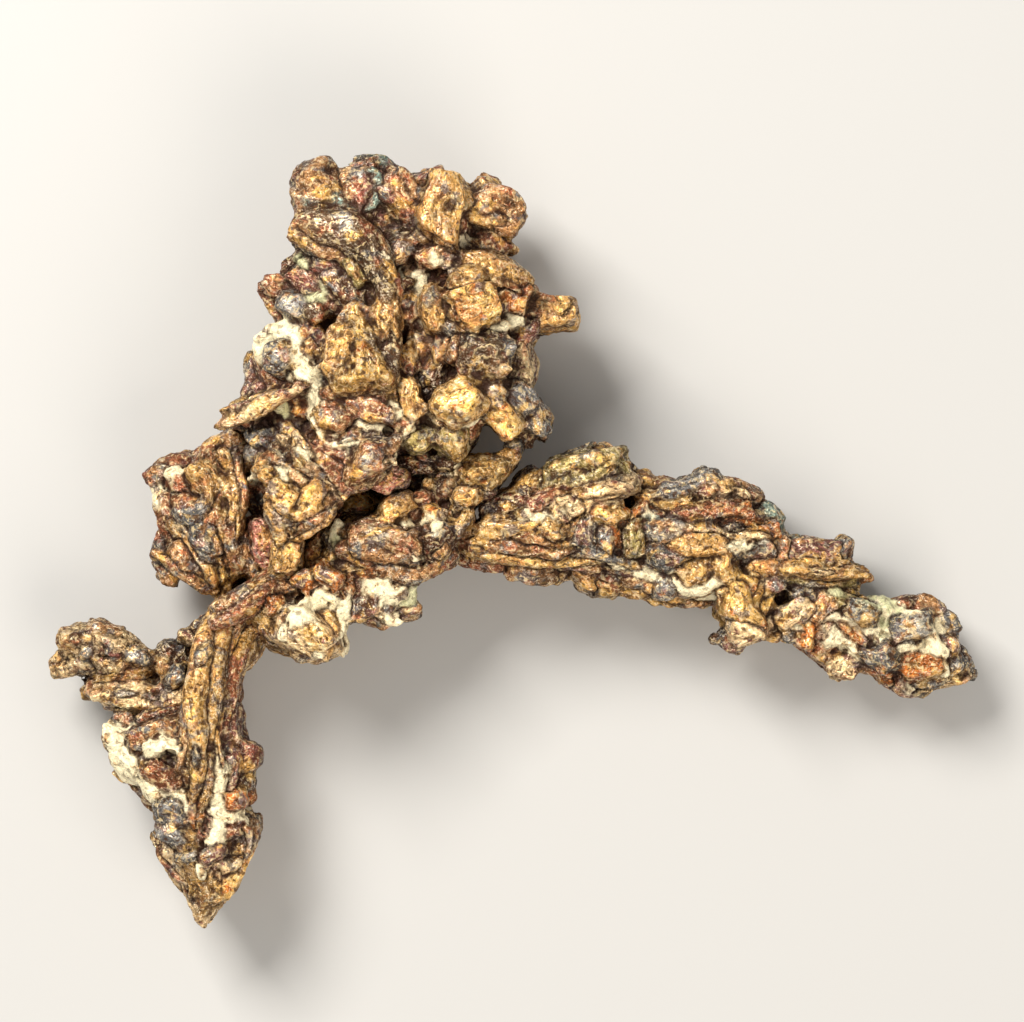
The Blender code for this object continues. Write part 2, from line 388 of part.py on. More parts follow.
ARM = [
    # root
    (50.4, 50.9, 3.0, 5.0, 3.2, 32, "nugget"),
    (49.7, 52.8, 4.0, 4.6, 2.4, 2, "nugget"),
    (47.8, 54.0, 3.4, 4.4, 2.4, -8, "nugget"),
    (48.4, 55.9, 0.6, 5.8, 1.9, -14, "nugget"),
    (51.4, 55.3, 3.2, 9.4, 1.3, -9, "rib"),
    (53.3, 57.2, -0.4, 5.2, 2.2, -8, "nugget"),
    (55.5, 57.6, 0.0, 1.6, 1.5, -30, "nugget"),
    (53.6, 54.0, 4.2, 5.0, 2.4, -5, "nugget"),
    (52.8, 51.6, 4.4, 2.8, 1.9, 20, "nugget"),
    (54.7, 53.1, 4.8, 3.8, 2.0, 15, "nugget"),
    (52.9, 48.4, 2.6, 3.6, 2.8, 58, "nugget"),
    (53.6, 49.0, 3.2, 3.0, 1.2, 75, "rib"),
    (58.4, 46.6, 3.6, 8.8, 2.9, 13, "block"),
    (57.6, 45.8, 3.2, 6.0, 1.4, 20, "rib"),
    (60.8, 45.4, 3.0, 2.4, 1.9, -30, "nugget"),
    (62.1, 46.6, 2.2, 2.8, 2.0, -35, "nugget"),
    (55.4, 48.7, 4.0, 3.2, 1.5, 5, "nugget"),
    (60.0, 48.9, 4.4, 8.0, 2.0, 9, "block"),
    (64.0, 48.1, 2.8, 2.6, 1.8, -18, "nugget"),
    (54.8, 50.2, 4.6, 3.2, 1.8, 15, "block"),
    (56.3, 50.8, 4.8, 3.4, 2.6, 30, "block"),
    (55.7, 51.7, 5.2, 2.4, 1.1, 50, "crust"),
    (53.6, 51.9, 4.8, 1.6, 1.1, 20, "nugget"),
    (58.1, 50.9, 4.6, 2.8, 2.2, 60, "block"),
    (61.0, 51.5, 5.2, 4.0, 1.9, 3, "nugget"),
    (64.5, 50.1, 3.8, 2.8, 1.8, 28, "nugget"),
    (62.9, 51.9, 4.6, 4.8, 1.1, 22, "rib"),
    (57.4, 52.7, 4.8, 3.4, 1.4, 46, "rib"),
    (58.4, 53.5, 4.8, 3.3, 1.8, 86, "nugget"),
    (60.3, 53.9, 4.8, 2.9, 1.8, 82, "nugget"),
    (61.2, 53.2, 5.0, 2.6, 0.8, -62, "rib"),
    (63.6, 53.7, 4.8, 3.3, 2.3, 75, "nugget"),
    (60.6, 55.4, 4.0, 6.2, 1.5, -11, "blade"),
    (57.8, 56.6, 2.6, 4.4, 1.7, -5, "nugget"),
    (62.5, 56.6, 3.4, 5.2, 1.6, -12, "blade"),
    (61.2, 56.0, 4.4, 2.8, 0.7, -14, "crust"),
    (58.5, 57.9, 1.4, 3.0, 2.0, -35, "nugget"),
    (60.3, 58.6, 1.0, 3.0, 2.0, -15, "nugget"),
    (61.4, 59.0, 0.4, 1.8, 1.5, 30, "nugget"),
    (63.4, 59.2, 0.8, 3.2, 1.8, -10, "nugget"),
    (63.4, 57.7, 2.8, 2.6, 2.3, 70, "nugget"),
    (64.4, 56.8, 4.0, 2.0, 0.9, -45, "crust"),
    (65.0, 51.8, 4.4, 2.6, 1.6, 5, "nugget"),
    (56.2, 54.4, 4.0, 3.2, 2.0, 0, "nugget"),
    # middle
    (66.4, 48.7, 2.4, 2.2, 1.7, 20, "nugget"),
    (68.8, 48.8, 3.6, 6.8, 2.4, 15, "block"),
    (70.9, 47.7, 2.8, 3.2, 1.6, -18, "spike"),
    (71.6, 49.0, 4.0, 4.4, 2.3, -8, "nugget"),
    (74.0, 49.2, 2.8, 4.6, 2.3, -22, "block"),
    (67.6, 50.1, 4.4, 4.2, 1.0, -6, "rib"),
    (72.4, 50.4, 3.0, 6.6, 1.2, 2, "rib"),
    (71.6, 51.5, 4.2, 8.6, 1.6, -2, "rib"),
    (70.4, 52.7, 4.8, 7.2, 1.1, -5, "rib"),
    (66.8, 52.9, 5.0, 3.6, 2.4, 20, "block"),
    (72.9, 52.9, 5.2, 2.2, 1.3, -10, "nugget"),
    (75.4, 53.4, 4.2, 5.0, 1.8, 18, "block"),
    (76.9, 52.1, 2.8, 3.6, 2.5, -48, "nugget"),
    (69.6, 54.4, 5.2, 5.6, 2.8, -8, "block"),
    (66.7, 55.6, 5.0, 4.2, 2.6, 5, "nugget"),
    (72.8, 55.1, 5.2, 3.4, 1.2, -18, "nugget"),
    (72.8, 54.4, 5.2, 3.2, 0.6, -16, "crust"),
    (75.6, 55.2, 4.6, 3.6, 1.9, 25, "block"),
    (69.2, 57.0, 5.0, 3.2, 2.4, 15, "nugget"),
    (72.1, 56.7, 5.2, 3.3, 2.8, 80, "nugget"),
    (66.6, 58.5, 3.4, 3.2, 2.6, 70, "nugget"),
    (65.0, 58.4, 2.8, 2.2, 1.8, 30, "nugget"),
    (69.6, 58.8, 2.4, 4.8, 2.2, -5, "crust"),
    (70.4, 58.8, 3.8, 0.9, 0.8, 0, "nugget"),
    (66.4, 60.0, 0.6, 3.8, 1.2, -8, "nugget"),
    (69.4, 60.1, 0.4, 3.8, 1.1, -4, "nugget"),
    # spur that hangs from the arm's middle
    (73.6, 59.8, 4.2, 5.2, 3.8, 80, "block"),
    (72.4, 58.7, 5.0, 2.0, 1.7, 30, "nugget"),
    (74.1, 58.7, 5.2, 2.0, 1.8, -30, "nugget"),
    (74.8, 62.4, 3.4, 5.0, 3.6, 15, "block"),
    (73.2, 64.1, 1.4, 3.0, 2.0, -32, "nugget"),
    (73.2, 65.1, 0.6, 1.4, 0.7, -60, "spike"),
    (71.7, 64.0, 0.8, 1.2, 1.0, 0, "nugget"),
    (76.0, 61.2, 4.0, 3.8, 2.3, 80, "nugget"),
    # outer part, with the long blade
    (76.4, 56.6, 4.8, 3.6, 2.6, 10, "nugget"),
    (77.0, 58.5, 4.8, 2.9, 1.8, 0, "nugget"),
    (77.8, 54.6, 3.8, 2.6, 2.2, 70, "block"),
    (79.3, 54.6, 2.4, 2.4, 1.7, 10, "nugget"),
    (81.4, 55.1, 3.2, 5.0, 2.4, 0, "block"),
    (84.1, 54.9, 2.4, 2.7, 2.5, 60, "nugget"),
    (82.2, 57.2, 3.8, 10.4, 2.5, 2, "spike"),
    (79.6, 56.6, 4.4, 5.0, 2.0, -5, "block"),
    (85.2, 57.9, 2.6, 4.2, 1.3, 14, "spike"),
    (79.8, 58.7, 2.4, 7.0, 1.1, -3, "rib"),
    (80.0, 60.2, 3.6, 2.4, 1.7, 10, "nugget"),
    (79.4, 61.3, 3.6, 3.6, 2.2, 30, "block"),
    (82.0, 60.7, 3.4, 3.2, 2.4, 60, "block"),
    (78.0, 61.7, 1.8, 2.6, 1.6, 10, "nugget"),
    (78.2, 63.3, 2.0, 5.0, 1.8, -10, "nugget"),
    (78.9, 63.8, 3.0, 1.7, 1.3, -20, "nugget"),
    (80.8, 63.4, 3.0, 3.8, 1.5, 70, "block"),
    (79.3, 62.4, 3.2, 3.6, 0.9, -20, "blade"),
    (82.4, 62.3, 2.8, 2.4, 1.6, 70, "block"),
    (82.2, 65.1, 1.4, 3.8, 2.3, -28, "nugget"),
    (83.6, 58.8, 2.6, 4.0, 1.2, -8, "nugget"),
    # tip, calcite web between dark crystals
    (84.4, 60.0, 3.4, 5.2, 1.7, -8, "nugget"),
    (86.0, 61.2, 4.2, 3.5, 2.6, -20, "nugget"),
    (88.2, 61.7, 2.6, 4.4, 3.6, -35, "crust"),
    (87.2, 63.3, 3.2, 3.2, 1.4, -10, "nugget"),
    (90.5, 60.5, 1.8, 2.9, 1.2, 4, "nugget"),
    (93.0, 60.9, 2.0, 3.4, 1.8, -12, "block"),
    (94.0, 60.4, 1.6, 1.6, 0.5, 42, "spike"),
    (91.2, 62.8, 3.8, 3.4, 2.6, 10, "block"),
    (93.4, 63.4, 2.0, 6.6, 2.4, -58, "crust"),
    (91.4, 65.0, 2.4, 4.4, 1.4, -8, "crust"),
    (84.8, 64.0, 2.2, 5.6, 2.2, -40, "crust"),
    (85.2, 62.9, 3.8, 3.9, 1.2, -36, "block"),
    (95.0, 62.7, 2.4, 3.2, 2.2, -50, "nugget"),
    (95.0, 64.7, 3.0, 2.7, 2.2, 20, "nugget"),
    (96.3, 65.7, 1.2, 4.0, 1.5, -66, "nugget"),
    (97.0, 67.6, 0.2, 3.4, 1.7, -38, "spike"),
    (95.3, 67.9, 1.0, 4.4, 1.5, -4, "nugget"),
    (95.4, 66.4, 2.8, 2.7, 1.9, 40, "nugget"),
    (88.0, 65.4, 3.8, 5.0, 3.0, -10, "nugget"),
    (92.0, 66.4, 3.4, 4.2, 2.3, 0, "block"),
    (84.3, 66.6, 1.4, 3.3, 2.9, 20, "nugget"),
    (86.8, 66.9, 1.6, 2.8, 1.3, -20, "nugget"),
    (88.7, 68.0, 1.4, 2.8, 1.4, -28, "nugget"),
    (90.2, 68.2, 1.6, 3.2, 2.0, -35, "nugget"),
    (91.7, 68.9, 0.8, 3.8, 1.8, -8, "nugget"),
    (92.8, 67.9, 2.0, 3.6, 2.1, 18, "nugget"),
]

# Lumps inside the branches, which hold the front and the back together: x, y, length, width, depth, turn.
CROWN_CORES = [
    (36.0, 21.5, 8.0, 5.0, 8.0, -10),
    (46.0, 22.0, 8.0, 5.0, 9.0, 0),
    (37.5, 27.5, 13.0, 7.0, 12.0, -10),
    (46.0, 29.0, 11.0, 9.0, 13.0, 0),
    (36.5, 34.5, 13.0, 9.0, 13.5, -30),
    (47.0, 36.5, 11.0, 9.5, 13.5, 0),
    (35.0, 40.5, 14.0, 8.0, 12.5, 20),
    (44.5, 41.5, 9.0, 5.5, 11.0, 0),
    (37.0, 45.0, 10.0, 5.0, 11.5, 15),
    (31.0, 47.5, 7.0, 5.5, 12.0, -40),
    (29.3, 52.5, 3.0, 8.0, 10.0, 0),
    (43.0, 45.0, 6.0, 3.6, 9.0, 0),
    (41.6, 32.6, 6.0, 8.0, 12.0, 0),
    (50.0, 41.2, 6.0, 3.4, 10.0, -50),
    (52.2, 42.6, 6.0, 2.4, 9.0, -62),
    (53.6, 31.4, 5.0, 2.8, 8.0, 0),
    (52.0, 36.0, 2.6, 5.0, 8.0, 0),
    (27.4, 36.6, 3.6, 5.0, 8.0, 0),
    (26.4, 41.4, 8.0, 2.2, 7.0, 24),
    (28.4, 43.4, 5.0, 3.2, 8.0, -30),
]
LOBE_CORES = [
    (19.6, 51.0, 6.0, 9.5, 8.0, 0),
    (22.6, 48.5, 5.0, 7.0, 7.5, 0),
    (22.2, 56.0, 3.6, 6.0, 6.5, 35),
    (17.2, 54.6, 2.6, 7.0, 5.0, 0),
]
BAR_CORES = [
    (38.5, 54.2, 13.0, 5.6, 9.0, -5),
    (45.0, 53.0, 6.0, 5.6, 8.0, 0),
    (47.8, 48.8, 6.0, 3.6, 7.0, 20),
    (44.0, 49.6, 4.0, 4.0, 6.0, 0),
    (31.8, 57.4, 8.0, 4.6, 9.5, 10),
    (30.4, 62.6, 6.4, 5.0, 9.0, -25),
    (38.2, 59.4, 6.0, 3.6, 7.0, -10),
    (25.4, 60.2, 7.0, 3.0, 9.0, 30),
    (36.4, 61.0, 4.0, 2.4, 6.0, -10),
    (50.2, 46.9, 4.0, 2.0, 6.0, 45),
    (42.6, 51.4, 5.0, 3.4, 7.0, 0),
]
LEG_CORES = [
    (22.8, 65.0, 8.0, 3.6, 8.0, 66),
    (21.4, 74.0, 14.0, 4.2, 9.0, 88),
    (16.6, 76.6, 6.0, 6.0, 7.0, 0),
    (20.4, 83.4, 7.6, 6.8, 6.6, 90),
    (23.6, 77.8, 6.0, 2.4, 6.0, 90),
    (19.4, 63.4, 4.4, 1.8, 5.0, 35),
    (14.2, 74.4, 4.0, 4.4, 5.0, 0),
]
SPUR_CORES = [
    (12.0, 65.4, 10.0, 2.8, 4.6, -18),
    (13.6, 69.0, 9.0, 2.6, 4.6, -4),
    (17.6, 66.8, 3.0, 3.4, 5.0, 0),
    (12.6, 67.3, 6.0, 1.6, 3.4, 5),
    (7.2, 65.2, 4.0, 3.6, 3.6, 30),
]
ARM_CORES = [
    (50.6, 53.2, 8.0, 4.0, 7.0, -10),
    (58.0, 49.6, 12.0, 5.0, 8.4, 5),
    (59.0, 54.6, 13.0, 4.0, 7.6, -8),
    (69.5, 51.0, 12.0, 4.6, 7.6, -6),
    (69.5, 56.0, 13.0, 5.0, 7.4, -6),
    (74.2, 60.4, 4.0, 5.6, 5.6, 0),
    (79.6, 57.0, 9.0, 3.4, 6.6, -3),
    (80.0, 61.6, 7.0, 4.4, 5.0, 0),
    (87.6, 62.8, 8.0, 4.8, 5.0, -15),
    (92.6, 65.4, 6.6, 4.4, 4.4, -10),
    (84.2, 65.2, 5.0, 3.4, 4.2, -20),
    (60.4, 57.4, 7.0, 2.4, 5.0, -8),
    (77.8, 60.2, 5.0, 3.4, 5.0, 0),
    (96.0, 66.6, 3.4, 2.0, 3.0, -50),
    (83.6, 55.4, 3.0, 2.4, 4.0, 0),
]

# Crystals that reach the ground, and are worn flat on it: x, y, height of their middle, length, width, depth.
FEET = [
    (35.6, 27.6, 2.6, 8.0, 6.4, 6.4),
    (47.4, 25.4, 2.6, 7.0, 6.0, 6.4),
    (37.6, 37.6, 2.2, 8.0, 7.0, 5.4),
    (20.6, 83.0, 2.5, 5.4, 4.6, 6.6),
    (91.4, 65.2, 1.5, 4.6, 3.4, 4.2),
]

# Lines along which the nugget is cut at its forks, as points on the sheet.
CROWN_TO_LOBE = [(26.5, 57.4), (26.4, 50.0), (25.1, 45.2), (24.6, 42.6), (22.0, 43.3), (-6.0, 43.3)]
CROWN_TO_BAR = [
    (26.5, 57.4), (30.2, 57.9), (30.5, 53.8), (31.6, 53.3), (34.4, 51.7), (36.4, 50.2), (38.6, 49.6),
    (41.2, 48.3), (42.3, 47.3), (45.0, 46.9), (45.9, 45.9), (48.2, 44.6), (51.0, 45.6), (52.4, 45.3),
]
CROWN_TO_ARM = [(52.4, 45.3), (54.2, 44.5), (58.0, 43.6), (112.0, 40.0)]
BAR_TO_ARM = [
    (52.4, 45.3), (51.1, 48.0), (49.8, 49.6), (48.4, 50.4), (47.6, 51.8), (46.6, 53.6), (45.6, 54.6),
    (45.9, 57.0), (47.0, 62.0), (47.0, 104.0),
]
LOBE_TO_LEG = [(26.5, 57.4), (20.5, 60.9), (-6.0, 60.9)]
BAR_TO_LEG = [(20.5, 60.9), (24.2, 61.7), (26.0, 63.0), (26.8, 65.4), (27.6, 68.5), (28.0, 104.0)]
LEG_TO_SPUR = [
    (16.6, 60.9), (17.2, 62.8), (18.2, 64.4), (19.4, 64.9), (19.5, 67.2), (18.8, 69.0), (18.6, 70.5),
    (12.2, 71.8), (-6.0, 72.8),
]

# ---------------------------------------------------------------- start from an empty scene
for old in list(bpy.data.objects):
    bpy.data.objects.remove(old, do_unlink=True)

nugget = bpy.data.collections.new("native_copper_nugget")
helpers = bpy.data.collections.new("helpers")
bpy.context.scene.collection.children.link(nugget)
bpy.context.scene.collection.children.link(helpers)
helpers.hide_render = True


# ---------------------------------------------------------------- one crystal
def face_planes(rng, form):
    """The planes that bound a crystal: unit normals and their distances from its middle."""
    if form == "block":
        spin = rng.uniform(-0.22, 0.22, 3)
        normals = []
        for axis in range(3):
            for side in (-1.0, 1.0):
                normal = np.zeros(3)
                normal[axis] = side
                normals.append(normal + np.cross(spin, normal) + rng.uniform(-0.08, 0.08, 3))
        distances = [0.72] * 6
        for corner in ((1, 1, 1), (1, 1, -1), (1, -1, 1), (-1, 1, 1), (-1, -1, 1), (-1, 1, -1), (1, -1, -1)):
            normals.append(np.array(corner, float) + rng.uniform(-0.25, 0.25, 3))
            distances.append(rng.uniform(0.86, 1.02))
    else:
        count = 15 if form == "crust" else 12
        turn = rng.uniform(0.0, 2.0 * math.pi)
        normals = []
        for k in range(count):
            z = 1.0 - (2.0 * k + 1.0) / count
            angle = turn + k * 2.39996
            ring = math.sqrt(1.0 - z * z)
            at = np.array((ring * math.cos(angle), ring * math.sin(angle), z))
            normals.append(at + rng.uniform(-0.22, 0.22, 3))
        distances = list(rng.uniform(0.80, 1.0, count))
    normals = np.array(normals)
    normals /= np.linalg.norm(normals, axis=1)[:, None]
    return normals, np.array(distances)


def crystal_shape(directions, form, rng):
    """Points of a crystal of this form along the given directions, filling the box from -1 to 1."""
    x, y, z = directions.T
    if form == "rib":
        radius = (np.abs(x) ** 3.0 + (y * y + z * z) ** 1.5) ** (-1.0 / 3.0)
    else:
        normals, distances = face_planes(rng, form)
        sharp = 16.0 if form == "block" else 11.0
        reach = np.maximum(directions @ normals.T, 0.0) / distances
        radius = (reach**sharp).sum(axis=1) ** (-1.0 / sharp)
    points = directions * radius[:, None]
    points -= (points.max(axis=0) + points.min(axis=0)) / 2.0
    points /= np.abs(points).max(axis=0)
    along = points[:, 0]
    if form == "blade":
        points[:, 1:] *= (1.0 - 0.62 * np.abs(along) ** 1.4)[:, None]
    elif form == "spike":
        points[:, 1:] *= (1.0 - 0.80 * (0.5 + 0.5 * along) ** 1.5)[:, None]
    elif form == "rib":
        points[:, 1] += rng.uniform(-0.45, 0.45) * (along * along - 0.35)
        points[:, 1:] *= (1.0 - 0.20 * np.abs(along) ** 2)[:, None]
    return points


ball = bpy.data.meshes.new("ball")
round_ball = bmesh.new()
bmesh.ops.create_icosphere(round_ball, subdivisions=3, radius=1.0)
round_ball.to_mesh(ball)
round_ball.free()
DIRECTIONS = np.array([vert.co.normalized()[:] for vert in ball.vertices])


def add_crystal(cluster, middle, size, turn, tilt, form, rng):
    """Adds one crystal to the cluster. Its middle and size are in squares, its turn and tilt in radians."""
    points = crystal_shape(DIRECTIONS, form, rng) * (np.array(size) / 2.0)
    for first, second, angle in ((1, 2, tilt[0]), (2, 0, tilt[1]), (0, 1, turn)):
        a, b = points[:, first].copy(), points[:, second].copy()
        points[:, first] = a * math.cos(angle) - b * math.sin(angle)
        points[:, second] = a * math.sin(angle) + b * math.cos(angle)
    points[:, 0] += middle[0] - SHEET_CENTRE[0]
    points[:, 1] += SHEET_CENTRE[1] - middle[1]
    points[:, 2] += middle[2]
    ball.vertices.foreach_set("co", (points * SQUARE).ravel())
    cluster.from_mesh(ball)


def middle_height(branch, x):
    """Height of the branch's middle surface at this place along the sheet, in squares."""
    if branch != "arm":
        return {
            "crown": CROWN_MIDDLE,
            "lobe": LOBE_MIDDLE,
            "bar": BAR_MIDDLE,
            "leg": LEG_MIDDLE,
            "spur": SPUR_MIDDLE,
        }[branch]
    along = min(max((x - ARM_ROOT_X) / (ARM_TIP_X - ARM_ROOT_X), 0.0), 1.0)
    return ARM_MIDDLE_ROOT + (ARM_MIDDLE_TIP - ARM_MIDDLE_ROOT) * along


def add_branch(cluster, branch, number, rows, cores):
    """Adds a branch: its listed front crystals, their reversed twins at the back, and the cores between."""
    for index, (x, y, rise, length, width, turn, form) in enumerate(rows):
        depth = DEPTH[form] * math.sqrt(length * width)
        base = middle_height(branch, x)
        for back in (0, 1) if rise > -1.0 else (0,):
            rng = np.random.default_rng([number, index, back])
            tilt = rng.uniform(-0.16, 0.16, 2)
            size = np.array((length + ROUNDING, width + ROUNDING, depth))
            height = base + rise
            angle = math.radians(turn)
            if back:
                size = size * BACK_SIZE
                height = base - rise * BACK_SHARE
                angle += rng.uniform(-0.12, 0.12)
            add_crystal(cluster, (x, y, height), size, angle, tilt, form, rng)
    for index, (x, y, length, width, depth, turn) in enumerate(cores):
        rng = np.random.default_rng([number, index, 7])
        middle = (x, y, middle_height(branch, x))
        add_crystal(cluster, middle, (length, width, depth), math.radians(turn), (0, 0), "nugget", rng)


# ---------------------------------------------------------------- the whole nugget, melted into one body
cluster = bmesh.new()
add_branch(cluster, "crown", 1, CROWN, CROWN_CORES)
add_branch(cluster, "lobe", 2, LOBE, LOBE_CORES)
add_branch(cluster, "bar", 3, BAR, BAR_CORES)
add_branch(cluster, "leg", 4, LEG, LEG_CORES)
add_branch(cluster, "spur", 5, SPUR, SPUR_CORES)
add_branch(cluster, "arm", 6, ARM, ARM_CORES)
for index, (x, y, height, length, width, depth) in enumerate(FEET):
    rng = np.random.default_rng([9, index])
    add_crystal(cluster, (x, y, height), (length, width, depth), 0.4, (0, 0), "nugget", rng)


def evaluated_mesh(obj):
    """The object's mesh with its modifiers applied."""
    bpy.context.view_layer.update()
    graph = bpy.context.evaluated_depsgraph_get()
    return bpy.data.meshes.new_from_object(obj.evaluated_get(graph), depsgraph=graph)


def keep_largest_shell(body):
    """Drops every shell but the largest: crumbs outside the body, and the walls of hollows inside it."""
    body.verts.ensure_lookup_table()
    unseen = set(body.verts)
    shells = []
    while unseen:
        shell = [unseen.pop()]
        for vert in shell:
            for edge in vert.link_edges:
                other = edge.other_vert(vert)
                if other in unseen:
                    unseen.remove(other)
                    shell.append(other)
        shells.append(shell)
    shells.sort(key=len)
    for shell in shells[:-1]:
        bmesh.ops.delete(body, geom=shell, context="VERTS")


def mend(body):
    """Opens the few places where the surface touches itself along an edge, and closes each with new faces."""
    for _ in range(6):
        bmesh.ops.remove_doubles(body, verts=body.verts[:], dist=0.00003)
        bmesh.ops.dissolve_degenerate(body, dist=0.00003, edges=body.edges[:])
        bmesh.ops.triangulate(body, faces=body.faces[:])
        bad = {vert for edge in body.edges if len(edge.link_faces) != 2 for vert in edge.verts}
        bad |= {vert for vert in body.verts if not vert.is_manifold}
        if not bad:
            break
        print("mend", len(bad))
        bmesh.ops.delete(body, geom=list(bad), context="VERTS")
        bmesh.ops.holes_fill(body, edges=body.edges[:], sides=0)


whole_mesh = bpy.data.meshes.new("whole")
cluster.to_mesh(whole_mesh)
cluster.free()
whole = bpy.data.objects.new("whole", whole_mesh)
helpers.objects.link(whole)
melt = whole.modifiers.new("melt", "REMESH")
melt.mode = "VOXEL"
melt.voxel_size = VOXEL
melt.adaptivity = 0.0
melted = bmesh.new()
melted.from_mesh(evaluated_mesh(whole))
keep_largest_shell(melted)
mend(melted)
keep_largest_shell(melted)
for _ in range(2):
    bmesh.ops.smooth_vert(
        melted, verts=melted.verts[:], factor=0.5, use_axis_x=True, use_axis_y=True, use_axis_z=True
    )
whole.modifiers.clear()
melted.to_mesh(whole_mesh)
face_count = sum(len(face.verts) - 2 for face in melted.faces)
melted.free()

thin = whole.modifiers.new("thin", "DECIMATE")
thin.ratio = TRIANGLES / face_count
thinned = bmesh.new()
thinned.from_mesh(evaluated_mesh(whole))
whole.modifiers.clear()
mend(thinned)

# Worn flat where it rests: everything below the ground plane is cut away and the cut is closed.
cut = bmesh.ops.bisect_plane(
    thinned,
    geom=thinned.verts[:] + thinned.edges[:] + thinned.faces[:],
    dist=0.00002,
    plane_co=(0.0, 0.0, 0.0),
    plane_no=(0.0, 0.0, -1.0),
    clear_outer=True,
)["geom_cut"]
rim = [item for item in cut if isinstance(item, bmesh.types.BMEdge)]
bmesh.ops.triangle_fill(thinned, edges=rim, use_beauty=True, normal=(0.0, 0.0, -1.0))
keep_largest_shell(thinned)
bmesh.ops.recalc_face_normals(thinned, faces=thinned.faces[:])
thinned.to_mesh(whole_mesh)
thinned.free()


# ---------------------------------------------------------------- the six sub-parts, cut at the forks
def inset(outline, distance):
    """The closed outline moved inwards by this distance, in squares."""
    points = [Vector(point) for point in outline]
    area = sum(a.x * b.y - b.x * a.y for a, b in zip(points, points[1:] + points[:1]))
    side = 1.0 if area > 0 else -1.0
    moved = []
    for before, point, after in zip(points[-1:] + points[:-1], points, points[1:] + points[:1]):
        first = (point - before).normalized()
        second = (after - point).normalized()
        first_in = Vector((-first.y, first.x)) * side
        second_in = Vector((-second.y, second.x)) * side
        between = (first_in + second_in).normalized()
        moved.append(point + between * distance / max(between.dot(first_in), 0.2))
    return moved


def cut_out(name, outline):
    """Makes the sub-part that lies inside this outline on the sheet, and gives it its material."""
    block = bmesh.new()
    corners = []
    for point in inset(outline, FORK_GAP / 2.0 / SQUARE):
        x = (point.x - SHEET_CENTRE[0]) * SQUARE
        y = (SHEET_CENTRE[1] - point.y) * SQUARE
        corners.append(block.verts.new((x, y, -0.01)))
    face = block.faces.new(corners)
    raised = bmesh.ops.extrude_face_region(block, geom=[face])["geom"]
    bmesh.ops.translate(
        block, verts=[item for item in raised if isinstance(item, bmesh.types.BMVert)], vec=(0, 0, 0.07)
    )
    bmesh.ops.recalc_face_normals(block, faces=block.faces[:])
    cell_mesh = bpy.data.meshes.new("cell_" + name)
    block.to_mesh(cell_mesh)
    block.free()
    cell = bpy.data.objects.new("cell_" + name, cell_mesh)
    cell.display_type = "WIRE"
    cell.hide_render = True
    helpers.objects.link(cell)

    part = bpy.data.objects.new(name, whole_mesh.copy())
    nugget.objects.link(part)
    keep = part.modifiers.new("keep", "BOOLEAN")
    keep.operation = "INTERSECT"
    keep.solver = "EXACT"
    keep.use_self = True
    keep.object = cell
    body = bmesh.new()
    body.from_mesh(evaluated_mesh(part))
    part.modifiers.clear()
    keep_largest_shell(body)
    mend(body)
    keep_largest_shell(body)
    bmesh.ops.recalc_face_normals(body, faces=body.faces[:])
    body.to_mesh(part.data)
    body.free()
    material = bpy.data.materials.new(name + "_copper")
    material.use_nodes = True
    shader = material.node_tree.nodes["Principled BSDF"]
    shader.inputs["Base Color"].default_value = COPPER_COLOUR
    shader.inputs["Metallic"].default_value = 1.0
    shader.inputs["Roughness"].default_value = 0.45
    part.data.materials.clear()
    part.data.materials.append(material)
    return part


cut_out("crown", [(-6.0, 4.0), (112.0, 4.0)] + CROWN_TO_ARM[::-1] + CROWN_TO_BAR[::-1][1:] + CROWN_TO_LOBE[1:])
cut_out("left_lobe", CROWN_TO_LOBE[::-1] + LOBE_TO_LEG[1:])
cut_out("middle_bar", CROWN_TO_BAR + BAR_TO_ARM[1:] + BAR_TO_LEG[::-1])
cut_out("right_arm", CROWN_TO_ARM + [(112.0, 104.0)] + BAR_TO_ARM[::-1][:-1])
cut_out("lower_leg", LEG_TO_SPUR + [(-6.0, 104.0)] + BAR_TO_LEG[::-1])
cut_out("side_spur", [(-6.0, 60.9)] + LEG_TO_SPUR)
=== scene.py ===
"""A nugget of native copper grown together with calcite, lying on its back on a pale floor.

It is one grown piece. Each branch is a pile of crystals melted into one skin, then folded, pitted and
coloured crystal by crystal. The branches follow from the bar that they all grow from to their tips.
"""

import math

import bmesh
import bpy
import numpy as np
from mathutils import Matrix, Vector


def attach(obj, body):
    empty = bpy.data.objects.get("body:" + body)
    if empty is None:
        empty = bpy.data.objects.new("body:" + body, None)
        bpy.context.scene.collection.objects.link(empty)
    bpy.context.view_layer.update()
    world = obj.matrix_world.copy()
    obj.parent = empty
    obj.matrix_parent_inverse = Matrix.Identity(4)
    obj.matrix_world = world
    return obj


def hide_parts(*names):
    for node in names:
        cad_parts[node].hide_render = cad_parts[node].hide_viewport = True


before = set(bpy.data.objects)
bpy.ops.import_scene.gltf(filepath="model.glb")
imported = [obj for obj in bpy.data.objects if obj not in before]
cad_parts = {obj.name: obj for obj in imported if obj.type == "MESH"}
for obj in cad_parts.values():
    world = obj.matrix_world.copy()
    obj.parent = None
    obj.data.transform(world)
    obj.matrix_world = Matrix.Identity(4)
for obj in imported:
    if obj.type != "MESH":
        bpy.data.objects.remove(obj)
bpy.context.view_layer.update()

# ---------------------------------------------------------------- middle bar
# The short thick bar that every branch grows from: rust-brown copper in front, amber crystals and a smooth
# pale gold knob below, and a hanging cluster of white calcite. It is solid metal, and the calcite has grown
# fast to it.
MM = 0.001
SQUARE = 0.0016  # side of one square of the sheet that the crystals are laid out on
SHEET_CENTRE = (51.33, 54.22)  # the sheet's point above the origin: x to the right, y down the sheet

